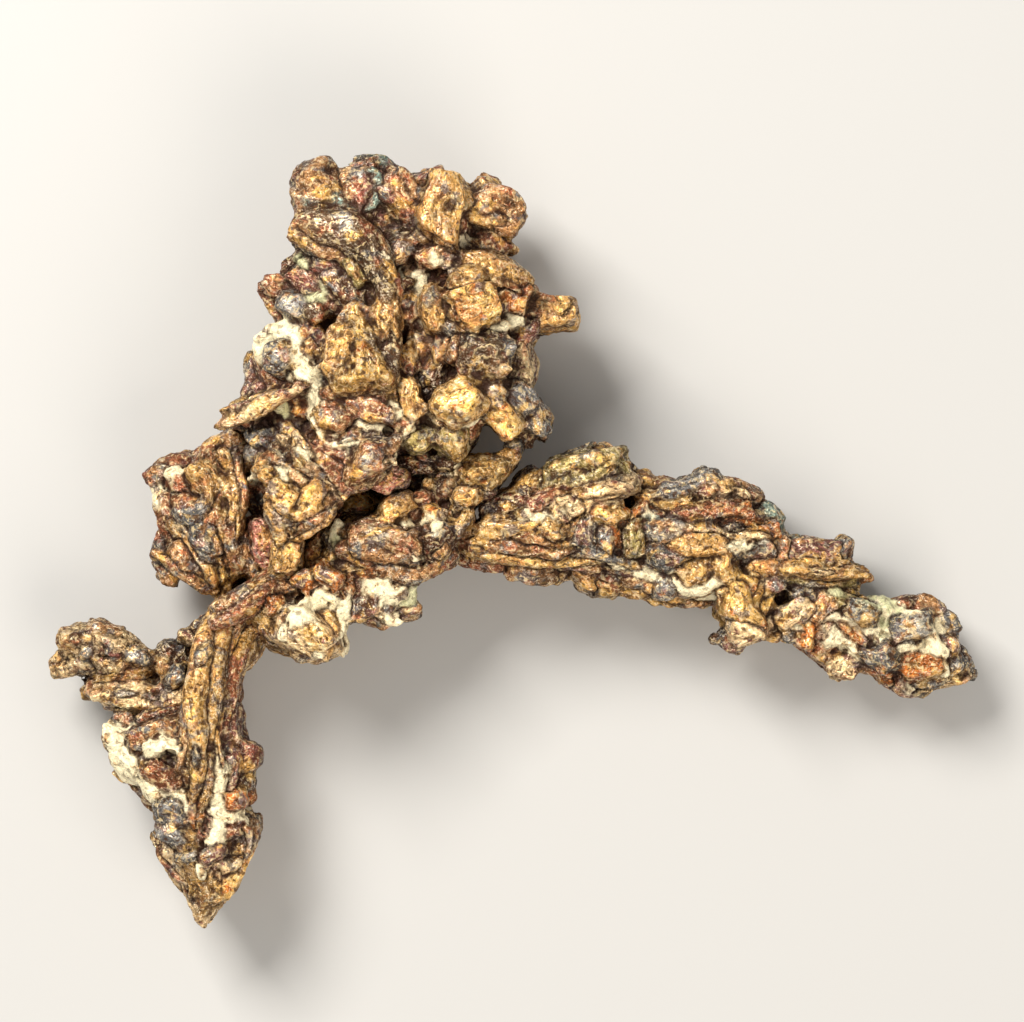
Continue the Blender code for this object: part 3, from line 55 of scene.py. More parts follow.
# A crystal's depth, as a share of the square root of its length times its width.
DEPTH = {
    "nugget": 0.90,
    "block": 0.84,
    "blade": 0.62,
    "spike": 0.74,
    "rib": 0.66,
    "crust": 0.55,
    "smooth": 0.86,
    "plate": 0.60,
}
ROUNDING = 0.2  # squares added to a crystal's length and width for what the melting wears off
LEAN = 0.16  # radians: how far a crystal leans at random
ROOT_DEPTH = 1.3  # a crystal's root is this much deeper than the crystal
ROOT_DROP = 0.45  # and sits lower by this share of its depth
BACK_SHARE = 0.90  # how far a back crystal sits from the middle surface, against its front twin
BACK_SIZE = 0.97  # how large it is against its front twin
BACK_TURN = 0.12  # radians: how far it is turned away from it
VEIN_SPREAD = 1.15  # a vein is this much wider below than the part of it that shows
VEIN_SINK = 0.15  # squares: how much deeper than a band it lies
CURVE_STEPS = 12  # steps of a band's curve from each of its points to the next
CURVE_ROUNDS = 30  # rounds of averaging that take the corners off the curve
SIDE_CHANCE = 0.30  # how often a side growth takes a partner of its crystal's finish

# Folds run along each crystal: their depth in millimetres, how many there are to a millimetre across the
# crystal and along it, and how much of the rough hackle of broken metal there is besides.
FOLDS = {
    "nugget": (0.20, 0.46, 0.30, 0.65),
    "block": (0.24, 0.60, 0.20, 0.60),
    "blade": (0.24, 0.70, 0.14, 0.55),
    "spike": (0.26, 0.60, 0.16, 0.60),
    "rib": (0.32, 0.60, 0.09, 0.50),
    "crust": (0.16, 0.50, 0.50, 0.60),
    "smooth": (0.18, 0.40, 0.30, 0.75),
    "plate": (0.14, 0.40, 0.30, 0.80),
    "band": (0.32, 0.46, 0.05, 0.30),
    "vein": (0.14, 0.60, 0.50, 0.70),
}
WARP = (0.9, 0.26)  # millimetres: the broad and the small part of the warp
OWN_REACH = 1.2  # millimetres: how far outside a crystal a point can still be counted to it
GOLDEN_ANGLE = 2.39996  # radians: turned by this each time, things spread evenly round a circle


def face_planes(rng, form):
    """The planes that bound a crystal: unit normals and their distances from its middle."""
    if form == "block":
        spin = rng.uniform(-0.22, 0.22, 3)
        normals = []
        for axis in range(3):
            for side in (-1.0, 1.0):
                normal = np.zeros(3)
                normal[axis] = side
                normals.append(normal + np.cross(spin, normal) + rng.uniform(-0.08, 0.08, 3))
        distances = [0.72] * 6
        bevelled = ((1, 1, 1), (1, 1, -1), (1, -1, 1), (-1, 1, 1), (-1, -1, 1), (-1, 1, -1), (1, -1, -1))
        for corner in bevelled:
            normals.append(np.array(corner, float) + rng.uniform(-0.25, 0.25, 3))
            distances.append(rng.uniform(0.86, 1.02))
    elif form == "plate":
        roof, edges = ((0.1, 0.5, 1), (0.1, -0.5, 1)), ((0, 1, -0.2), (0, -1, -0.2))
        sides = (*roof, (0, 0, -1), *edges, (1, 0, 0), (-1, 0, 0.3))
        normals = [np.array(side, float) + rng.uniform(-0.05, 0.05, 3) for side in sides]
        distances = [0.75, 0.75, 0.75, 0.90, 0.90, 1.0, 0.90]
    else:
        count = 15 if form == "crust" else 12
        turn = rng.uniform(0.0, 2.0 * math.pi)
        normals = []
        for k in range(count):
            z = 1.0 - (2.0 * k + 1.0) / count
            angle = turn + k * GOLDEN_ANGLE
            ring = math.sqrt(1.0 - z * z)
            at = np.array((ring * math.cos(angle), ring * math.sin(angle), z))
            normals.append(at + rng.uniform(-0.22, 0.22, 3))
        distances = list(rng.uniform(0.80, 1.0, count))
    normals = np.array(normals)
    normals /= np.linalg.norm(normals, axis=1)[:, None]
    return normals, np.array(distances)


def round_ball(subdivisions):
    """A ball to shape crystals from, and the directions of its points."""
    form = bmesh.new()
    bmesh.ops.create_icosphere(form, subdivisions=subdivisions, radius=1.0)
    ball = bpy.data.meshes.new("ball")
    form.to_mesh(ball)
    form.free()
    return ball, np.array([vert.co.normalized()[:] for vert in ball.vertices])


LONG_BALL, BALL, SMALL_BALL = round_ball(5), round_ball(4), round_ball(3)


def turned(turn, tilt):
    """The matrix that leans a crystal by two small angles and then turns it about the vertical."""
    matrix = np.eye(3)
    for first, second, angle in ((1, 2, tilt[0]), (2, 0, tilt[1]), (0, 1, turn)):
        step = np.eye(3)
        step[first, first] = step[second, second] = math.cos(angle)
        step[first, second], step[second, first] = -math.sin(angle), math.sin(angle)
        matrix = step @ matrix
    return matrix


def narrowing(form, along):
    """How much narrower a crystal is at this place along its length, from -1 to 1."""
    if form == "blade":
        return 1.0 - 0.62 * np.abs(along) ** 1.4
    if form == "plate":
        return 1.0 - 0.46 * (1.0 + along)
    if form == "spike":
        return 1.0 - 0.80 * (0.5 + 0.5 * along) ** 1.5
    if form == "rib":
        return 1.0 - 0.20 * along**2
    return np.ones_like(along)


class Crystal:
    """One crystal: its points on the nugget, and how far outside it any other point lies."""

    def __init__(self, ball, middle, size, matrix, form, finish, rng):
        self.ball, directions = ball
        self.form, self.finish, self.middle, self.turned = form, finish, middle, matrix
        self.group = -1
        x, y, z = directions.T
        self.bend = 0.0
        if form == "rib":
            self.planes = None
            points = directions * ((np.abs(x) ** 3.0 + (y * y + z * z) ** 1.5) ** (-1.0 / 3.0))[:, None]
        else:
            normals, distances = face_planes(rng, form)
            self.planes = (normals / distances[:, None]).T
            self.sharp = {"block": 40.0, "smooth": 12.0}.get(form, 20.0)
            reach = np.maximum(directions @ self.planes, 0.0)
            points = directions * ((reach**self.sharp).sum(axis=1) ** (-1.0 / self.sharp))[:, None]
        self.shift = (points.max(axis=0) + points.min(axis=0)) / 2.0
        points = points - self.shift
        self.extent = np.abs(points).max(axis=0)
        points /= self.extent
        if form == "rib":
            self.bend = rng.uniform(-0.45, 0.45)
            points[:, 1] += self.bend * (points[:, 0] ** 2 - 0.35)
        points[:, 1:] *= narrowing(form, points[:, 0])[:, None]
        self.half = np.array(size) * SQUARE / 2.0
        self.points = (points * self.half) @ self.turned.T + self.middle

    def local(self, points):
        """The points in the crystal's own frame, in metres."""
        return (points - self.middle) @ self.turned

    def outside(self, points):
        """How far each point lies outside the crystal, in metres. It is below zero inside."""
        q = self.local(points) / self.half
        along = np.clip(q[:, 0], -1.0, 1.0)
        q[:, 1:] /= narrowing(self.form, along)[:, None]
        if self.planes is None:
            q[:, 1] -= self.bend * (along**2 - 0.35)
            gauge = (np.abs(q[:, 0]) ** 3.0 + (q[:, 1] ** 2 + q[:, 2] ** 2) ** 1.5) ** (1.0 / 3.0)
        else:
            reach = np.maximum((q * self.extent + self.shift) @ self.planes, 0.0)
            gauge = (reach**self.sharp).sum(axis=1) ** (1.0 / self.sharp)
        return (gauge - 1.0) * self.half.prod() ** (1.0 / 3.0)


class Band:
    """A long growth or a vein that follows a curve. It answers to the same calls as a crystal."""

    def __init__(self, course, widths, depths, finish, form, rng):
        self.ball, directions = LONG_BALL
        self.form, self.finish, self.group = form, finish, -1
        knots = np.column_stack([course, widths, depths])
        at = np.linspace(0.0, len(knots) - 1.0, CURVE_STEPS * (len(knots) - 1) + 1)
        line = np.column_stack([np.interp(at, np.arange(len(knots)), column) for column in knots.T])
        for _ in range(CURVE_ROUNDS):
            line[1:-1] = 0.25 * line[:-2] + 0.5 * line[1:-1] + 0.25 * line[2:]
        self.line, self.radii = line[:, :3], line[:, 3:] / 2.0
        if form == "vein":
            spots = np.linspace(0.0, len(line) - 1.0, 3 * len(knots))
            here = np.arange(len(line))
            self.radii[:, 0] *= np.interp(here, spots, rng.uniform(0.5, 1.45, len(spots)))
            for axis in (0, 1):
                self.line[:, axis] += np.interp(here, spots, rng.uniform(-0.35, 0.35, len(spots))) * MM
        self.forward = np.gradient(self.line, axis=0)
        self.forward /= np.linalg.norm(self.forward, axis=1)[:, None]
        self.side = np.cross((0.0, 0.0, 1.0), self.forward)
        self.side /= np.linalg.norm(self.side, axis=1)[:, None]
        self.up = np.cross(self.forward, self.side)
        steps = np.linalg.norm(np.diff(self.line, axis=0), axis=1)
        self.run = np.concatenate([[0.0], np.cumsum(steps)])
        x, y, z = (directions * self.roundness(directions)[:, None] ** -1.0).T
        spot = (x * 0.5 + 0.5) * self.run[-1]
        place, side, up, radii = (
            np.column_stack([np.interp(spot, self.run, column) for column in array.T])
            for array in (self.line, self.side, self.up, self.radii)
        )
        self.points = place + side * (y * radii[:, 0])[:, None] + up * (z * radii[:, 1])[:, None]
        self.middle = (self.points.max(axis=0) + self.points.min(axis=0)) / 2.0
        reach = np.linalg.norm(self.points - self.middle, axis=1).max()
        self.half = np.array((reach, self.radii[:, 0].max(), self.radii[:, 1].max()))

    @staticmethod
    def roundness(q):
        """1 on the surface of the long rounded form, less inside and more outside."""
        return (np.abs(q[:, 0]) ** 6.0 + (q[:, 1] ** 2 + q[:, 2] ** 2) ** 3.0) ** (1.0 / 6.0)

    def nearest(self, points):
        """For each point, the nearest step of the curve."""
        return ((points[:, None, :] - self.line[None]) ** 2).sum(axis=2).argmin(axis=1)

    def local(self, points):
        """The points as distances along the curve, across it and above it, in metres."""
        step = self.nearest(points)
        away = points - self.line[step]
        parts = [(away * axes[step]).sum(axis=1) for axes in (self.forward, self.side, self.up)]
        parts[0] = parts[0] + self.run[step]
        return np.column_stack(parts)

    def outside(self, points):
        """How far each point lies outside the band, in metres."""
        radii = self.radii[self.nearest(points)]
        q = self.local(points)
        q[:, 0] = q[:, 0] / self.run[-1] * 2.0 - 1.0
        q[:, 1:] /= radii
        return (self.roundness(q) - 1.0) * radii.mean(axis=1)


def side_growths(parent, length, width, depth, outward, rng):
    """The smaller parallel growths that stand on a crystal's outer face and give it its folds."""
    form = parent.form
    # Each spot: its place along, across and out of the crystal, then its length, width and depth, all as
    # shares of the crystal's own.
    if form == "rib":
        spots = [(rng.uniform(-0.06, 0.06), side, 0.13, 0.92, 0.50, 0.66) for side in (-0.22, 0.22)]
    elif form in ("blade", "spike"):
        spots = [
            (rng.uniform(-0.12, 0.08), side, 0.14, rng.uniform(0.66, 0.84), 0.42, 0.7)
            for side in (-0.16, 0.18)
        ]
    else:
        count = int(min(max(length * width / 3.6, 2), 5))
        start = rng.uniform(0.0, 2.0 * math.pi)
        spots = []
        for k in range(count):
            angle = start + k * GOLDEN_ANGLE
            reach = 0.27 * math.sqrt((k + 0.6) / count)
            share = rng.uniform(0.52, 0.80)
            rises = 0.48 - 0.5 * share * 0.8 + rng.uniform(-0.04, 0.04) - 0.5 * reach
            sizes = (share, share * 0.74, share * 0.8)
            spots.append((reach * math.cos(angle), reach * math.sin(angle), rises, *sizes))
    other_form = ("nugget", "blade")[(len(spots) - 1) % 2]
    growths = []
    for x, y, z, long_share, wide_share, deep_share in spots:
        place = np.array((x * length, y * width, z * depth * outward)) * SQUARE
        size = (
            max(length * long_share, 0.9),
            max(width * wide_share, 0.6),
            max(depth * deep_share, 0.6),
        )
        lean = turned(rng.uniform(-0.3, 0.3), rng.uniform(-0.25, 0.25, 2))
        kind = form if form in ("rib", "blade", "spike") or rng.random() < 0.55 else other_form
        finish = parent.finish
        if rng.random() < SIDE_CHANCE:
            finish = FINISHES[finish][2 + int(rng.random() < 0.35)]
        middle = parent.middle + parent.turned @ place
        growths.append(Crystal(SMALL_BALL, middle, size, parent.turned @ lean, kind, finish, rng))
    return growths


def on_nugget(x, y, height):
    """A place given on the sheet, with its height in squares, as a point of the nugget in metres."""
    return np.array((x - SHEET_CENTRE[0], SHEET_CENTRE[1] - y, height)) * SQUARE


def laid_bands(crystals, bands, middle_height):
    """The long growths and veins of a branch, laid over its front crystals, and over the back ones too."""
    tops = np.concatenate([crystal.points for crystal in crystals]) / SQUARE
    tops = tops[tops[:, 2] > middle_height(0) * 0.5]
    laid = []
    for index, (finish, lift, knots) in enumerate(bands):
        form = "vein" if finish in ("calcite", "celadon", "verdigris") else "band"
        knots = np.array(knots)
        x, y = knots[:, 0] - SHEET_CENTRE[0], SHEET_CENTRE[1] - knots[:, 1]
        widths = knots[:, 2] * (VEIN_SPREAD if form == "vein" else 1.0)
        depths = widths * (0.70 if form == "vein" else 0.80) + 0.3
        heights = []
        for here_x, here_y, width in zip(x, y, widths):
            gaps = np.hypot(tops[:, 0] - here_x, tops[:, 1] - here_y)
            heights.append(tops[gaps < max(0.4, 0.25 * width), 2].max(initial=tops[gaps.argmin(), 2]))
        heights = np.array(heights)
        for _ in range(2):
            heights[1:-1] = 0.25 * heights[:-2] + 0.5 * heights[1:-1] + 0.25 * heights[2:]
        heights += lift - depths / 2.0 - (VEIN_SINK if form == "vein" else 0.0)
        for back in (0, 1) if form == "band" else (0,):
            base = np.array([middle_height(knot[0]) for knot in knots])
            rise = base - (heights - base) * BACK_SHARE if back else heights
            course = np.column_stack([x, y, rise]) * SQUARE
            rng = np.random.default_rng([index, back, 13])
            laid.append(Band(course, widths * SQUARE, depths * SQUARE, finish, form, rng))
    return laid


def branch_crystals(number, rows, bands, cores, feet, middle_height):
    """The crystals of a branch: those listed with their roots and side growths, their twins at the back,
    the bands and veins laid over them, the cores between, and the feet that it rests on.

    A crystal more than one square below the middle surface is at the back already, so it has no twin.
    """
    crystals = []
    for index, (x, y, rise, length, width, turn, form, finish) in enumerate(rows):
        depth = DEPTH[form] * math.sqrt(length * width)
        base = middle_height(x)
        for back in (0, 1) if rise > -1.0 else (0,):
            rng = np.random.default_rng([number, index, back])
            tilt = rng.uniform(-LEAN, LEAN, 2)
            size = np.array((length + ROUNDING, width + ROUNDING, depth))
            height, angle = base + rise, math.radians(turn)
            if back:
                size = size * BACK_SIZE
                height = base - rise * BACK_SHARE
                angle += rng.uniform(-BACK_TURN, BACK_TURN)
            crystal = Crystal(BALL, on_nugget(x, y, height), size, turned(angle, tilt), form, finish, rng)
            start = len(crystals)
            crystals.append(crystal)
            outward = -1.0 if back else 1.0
            if rise > -1.0:
                rng = np.random.default_rng([number, index, back, 3])
                size = (length + ROUNDING, width + ROUNDING, depth * ROOT_DEPTH)
                middle = on_nugget(x, y, height - outward * depth * ROOT_DROP)
                crystals.append(Crystal(SMALL_BALL, middle, size, turned(angle, (0, 0)), form, finish, rng))
            if finish not in ("umber", "pink") and form not in ("smooth", "plate"):
                rng = np.random.default_rng([number, index, back, 5])
                crystals += side_growths(crystal, length, width, depth, outward, rng)
            for member in crystals[start:]:
                member.group = start
    for band in laid_bands(crystals, bands, middle_height):
        band.group = len(crystals)
        crystals.append(band)
    for index, (x, y, length, width, depth, turn) in enumerate(cores):
        rng = np.random.default_rng([number, index, 7])
        middle = on_nugget(x, y, middle_height(x))
        matrix = turned(math.radians(turn), (0, 0))
        size = (length, width, depth)
        crystals.append(Crystal(BALL, middle, size, matrix, "nugget", "umber", rng))
    for index, (x, y, height, length, width, depth) in feet:
        rng = np.random.default_rng([9, index])
        middle = on_nugget(x, y, height)
        size, matrix = (length, width, depth), turned(0.4, (0, 0))
        crystals.append(Crystal(BALL, middle, size, matrix, "nugget", "bronze", rng))
    return crystals


def waves(points, seed):
    """Smooth random waves from about -1 to 1, one unit from crest to crest."""
    cell = np.floor(points).astype(np.int64)
    part = points - cell
    fade = part**3 * (part * (part * 6.0 - 15.0) + 10.0)
    total = np.zeros(len(points))
    for corner in np.ndindex(2, 2, 2):
        at = cell + corner
        code = (at[:, 0] * 73856093) ^ (at[:, 1] * 19349663) ^ (at[:, 2] * 83492791) ^ (seed * 265443)
        code = ((code ^ (code >> 13)) * 1274126177) & 0x7FFFFFFF
        code ^= code >> 15
        slope = np.stack([code & 255, (code >> 8) & 255, (code >> 16) & 255], axis=1) / 127.5 - 1.0
        share = np.where(corner, fade, 1.0 - fade).prod(axis=1)
        total += share * ((part - corner) * slope).sum(axis=1)
    return total * 1.6


def warp(points):
    """How far the growing nugget pushed each point aside, so that no crystal keeps a tidy outline."""
    flat = points / MM
    broad = np.stack([waves(flat / 6.0 + 17.0 * k, 90 + k) for k in range(3)], axis=1)
    small = np.stack([waves(flat / 2.6 + 17.0 * k, 95 + k) for k in range(3)], axis=1)
    return (broad * WARP[0] + small * WARP[1]) * MM


def chance(first, second):
    """A number from 0 to 1 for each pair of crystals, the same whichever comes first."""
    code = np.minimum(first, second) * 7919 + np.maximum(first, second) * 104729
    code = ((code ^ (code >> 9)) * 1274126177) & 0x7FFFFFFF
    return ((code ^ (code >> 15)) & 1023) / 1023.0


def owners(crystals, points):
    """For each point: the crystal it lies on, how far it is outside that one, and the same for the nearest
    crystal of another group. A crystal and the growths on it are one group."""
    first = np.full(len(points), 1.0)
    second = np.full(len(points), 1.0)
    owner = np.zeros(len(points), np.int32)
    runner = np.zeros(len(points), np.int32)
    group = np.array([crystal.group for crystal in crystals])
    order = np.argsort(points[:, 0])
    sorted_x = points[order, 0]
    for index, crystal in enumerate(crystals):
        reach = crystal.half.max() * 1.10 + OWN_REACH * MM
        start, end = np.searchsorted(sorted_x, (crystal.middle[0] - reach, crystal.middle[0] + reach))
        near = order[start:end]
        near = near[np.abs(points[near, 1] - crystal.middle[1]) < reach]
        near = near[((points[near] - crystal.middle) ** 2).sum(axis=1) < reach * reach]
        if not len(near):
            continue
        gap = crystal.outside(points[near])
        best, next_best, held = first[near], second[near], owner[near]
        other = group[held] != crystal.group
        wins = gap < best
        seconds = ~wins & (gap < next_best) & other
        pushed = wins & other
        second[near] = np.where(pushed, best, np.where(seconds, gap, next_best))
        runner[near] = np.where(pushed, held, np.where(seconds, index, runner[near]))
        first[near] = np.where(wins, gap, best)
        owner[near] = np.where(wins, index, held)
    return owner, first, runner, second


def positions(mesh):
    """The mesh's points and normals as arrays."""
    points = np.empty(len(mesh.vertices) * 3, np.float32)
    normals = np.empty(len(mesh.vertices) * 3, np.float32)
    mesh.vertices.foreach_get("co", points)
    mesh.vertices.foreach_get("normal", normals)
    return points.reshape(-1, 3).astype(float), normals.reshape(-1, 3).astype(float)


def move_to(mesh, points):
    """Puts the mesh's points there."""
    mesh.vertices.foreach_set("co", points.astype(np.float32).ravel())
    mesh.update()


def applied(piece):
    """Applies the piece's modifiers to its mesh."""
    bpy.context.view_layer.update()
    graph = bpy.context.evaluated_depsgraph_get()
    piece.data = bpy.data.meshes.new_from_object(piece.evaluated_get(graph), depsgraph=graph)
    piece.modifiers.clear()


def edge_ends(mesh):
    """The two ends of each edge, as two arrays of point numbers."""
    edges = np.empty(len(mesh.edges) * 2, np.int32)
    mesh.edges.foreach_get("vertices", edges)
    return edges.reshape(-1, 2).T


def hollowness(mesh, points, normals, rounds):
    """How far each point lies below its surroundings, in metres: below zero on a crest."""
    a, b = edge_ends(mesh)
    total = len(points)
    count = np.bincount(a, minlength=total) + np.bincount(b, minlength=total)
    smooth = points
    for _ in range(rounds):
        columns = [
            (np.bincount(a, smooth[b, k], total) + np.bincount(b, smooth[a, k], total)) / count
            for k in range(3)
        ]
        smooth = np.stack(columns, axis=1)
    return ((smooth - points) * normals).sum(axis=1)


def linear(colour):
    """An sRGB hex colour as linear red, green and blue."""
    parts = [int(colour[at : at + 2], 16) / 255.0 for at in (1, 3, 5)]
    return [part / 12.92 if part <= 0.04045 else ((part + 0.055) / 1.055) ** 2.4 for part in parts]


# Finishes of the skin: colour, share of calcite, and the two finishes that break through it in patches.
FINISHES = {
    "gold": ("#bd8f50", 0.0, "bronze", "yellow"),
    "yellow": ("#c99e58", 0.0, "gold", "amber"),
    "pale": ("#d8b788", 0.05, "gold", "mauve"),
    "bronze": ("#9c7046", 0.0, "rust", "slate"),
    "rust": ("#8f5536", 0.0, "bronze", "mauve"),
    "amber": ("#ab6124", 0.0, "gold", "rust"),
    "mauve": ("#7b4d42", 0.0, "bronze", "slate"),
    "umber": ("#4a2d1c", 0.0, "rust", "slate"),
    "slate": ("#686562", 0.0, "slate", "bronze"),
    "dun": ("#5e4a36", 0.0, "umber", "rust"),
    "olive": ("#94824c", 0.0, "gold", "slate"),
    "verdigris": ("#7f9285", 0.15, "slate", "bronze"),
    "calcite": ("#fff1c8", 1.0, "pale", "calcite"),
    "celadon": ("#d6d4a4", 0.95, "calcite", "celadon"),
    "pink": ("#a5695a", 0.25, "rust", "pink"),
}


# How light a growth of these forms is against its finish. Other crystals take a shade at random between the
# darkest and the lightest, and calcite has its own.
SHADES = {"smooth": 1.12, "plate": 1.25, "band": 1.0}
DARKEST, LIGHTEST = 0.76, 1.18
STONE_SHADE = 1.06
BLEND_WIDTH = 0.25  # millimetres: how far the colours of two neighbours run into each other
# How far the dark of a seam reaches out of it, in millimetres: partly dirt, partly painted shade in the
# crease.
SEAM_DARK_WIDTH = 0.32  # millimetres: how far dirt reaches out of a seam


def melt_together(piece, voxel):
    """Melts the piece's overlapping forms into one skin, and drops hollows inside it and loose crumbs."""
    melt = piece.modifiers.new("melt", "REMESH")
    melt.mode = "VOXEL"
    melt.voxel_size = voxel * MM
    applied(piece)
    mesh = piece.data
    a, b = edge_ends(mesh)
    label = np.arange(len(mesh.vertices))
    while True:
        lowest = label.copy()
        np.minimum.at(lowest, a, label[b])
        np.minimum.at(lowest, b, label[a])
        lowest = lowest[lowest]
        if (lowest == label).all():
            break
        label = lowest
    names, counts = np.unique(label, return_counts=True)
    if len(names) == 1:
        return
    body = bmesh.new()
    body.from_mesh(mesh)
    main = names[counts.argmax()]
    stray = [vert for vert, own in zip(body.verts, label) if own != main]
    bmesh.ops.delete(body, geom=stray, context="VERTS")
    body.to_mesh(mesh)
    body.free()


# The skin's small shapes, in millimetres.
FIRST_MELT = 0.36  # size of the first melt's cells
CLOSING = 0.58  # gaps narrower than twice this are grown shut between neighbouring crystals
SEAM_WIDTH = 0.22
SEAM_DEPTH = 0.50
RIDGE_HEIGHT = 0.32  # long low ridges 3.4 mm apart
HACKLE_HEIGHT = 0.30  # sharp ones 1.7 mm apart
GRAIN_HEIGHT = 0.13  # grains 0.8 mm apart
FOLD_SHARE = 0.6  # how much of each form's fold depth is in the shape; the bump adds the finer ones


def melted_skin(name, crystals, voxel, triangles):
    """Melts the crystals into one skin, folds and roughens it, and thins it to its count of triangles."""
    cluster = bmesh.new()
    for crystal in crystals:
        crystal.ball.vertices.foreach_set("co", (crystal.points + warp(crystal.points)).ravel())
        cluster.from_mesh(crystal.ball)
    mesh = bpy.data.meshes.new(name)
    cluster.to_mesh(mesh)
    cluster.free()
    piece = bpy.data.objects.new(name, mesh)
    bpy.context.scene.collection.objects.link(piece)
    melt_together(piece, FIRST_MELT)
    for swelling, size in ((CLOSING, FIRST_MELT), (-CLOSING, voxel)):
        points, normals = positions(piece.data)
        move_to(piece.data, points + normals * swelling * MM)
        melt_together(piece, size)

    points, normals = positions(piece.data)
    grown = points - warp(points - warp(points))
    owner, first, runner, second = owners(crystals, grown)
    flat = points / MM
    wander = np.stack([waves(flat / 3.4 + 31.0 * k, 60 + k) for k in range(3)], axis=1)
    folded, rough = np.zeros(len(points)), np.zeros(len(points))
    for index, crystal in enumerate(crystals):
        mine = np.flatnonzero(owner == index)
        if len(mine):
            depth, across, along, rough[mine] = FOLDS[crystal.form]
            at = (crystal.local(grown[mine]) / MM + wander[mine] * 1.3) * (along, across, across)
            at += index * 7.3
            broad = np.minimum(np.abs(waves(at, index)), 0.55)
            narrow = np.minimum(np.abs(waves(at * 2.2, index + 400)), 0.5)
            # Folds with flat backs and sharp creases between them, and others half as wide on top.
            folded[mine] = depth * (1.7 * broad - 0.5 + 0.9 * narrow - 0.22)
    group = np.array([crystal.group for crystal in crystals])
    open_seam = np.clip(2.2 * chance(group[owner], group[runner]) - 0.35, 0.0, 1.0)
    seam = np.exp(-np.maximum(second - first, 0.0) / (SEAM_WIDTH * MM)) * open_seam
    seam *= np.clip(1.2 + waves(flat / 4.0, 11), 0.3, 1.6)
    ridges = 0.45 - 1.7 * np.abs(waves(flat / 3.4 + wander * 0.3, 3))
    hackle = HACKLE_HEIGHT * (0.4 - 1.6 * np.abs(waves(flat / 1.7, 5))) + GRAIN_HEIGHT * waves(flat / 0.8, 6)
    lift = FOLD_SHARE * folded + rough * (RIDGE_HEIGHT * ridges + hackle) - SEAM_DEPTH * seam
    move_to(piece.data, points + normals * (lift * MM)[:, None])

    thin = piece.modifiers.new("thin", "DECIMATE")
    thin.ratio = min(1.0, triangles / (2.0 * len(piece.data.polygons)))
    applied(piece)
    points, _ = positions(piece.data)
    points[:, 2] = np.maximum(points[:, 2], 0.0)
    move_to(piece.data, points)
    piece.data.shade_smooth()
    return piece


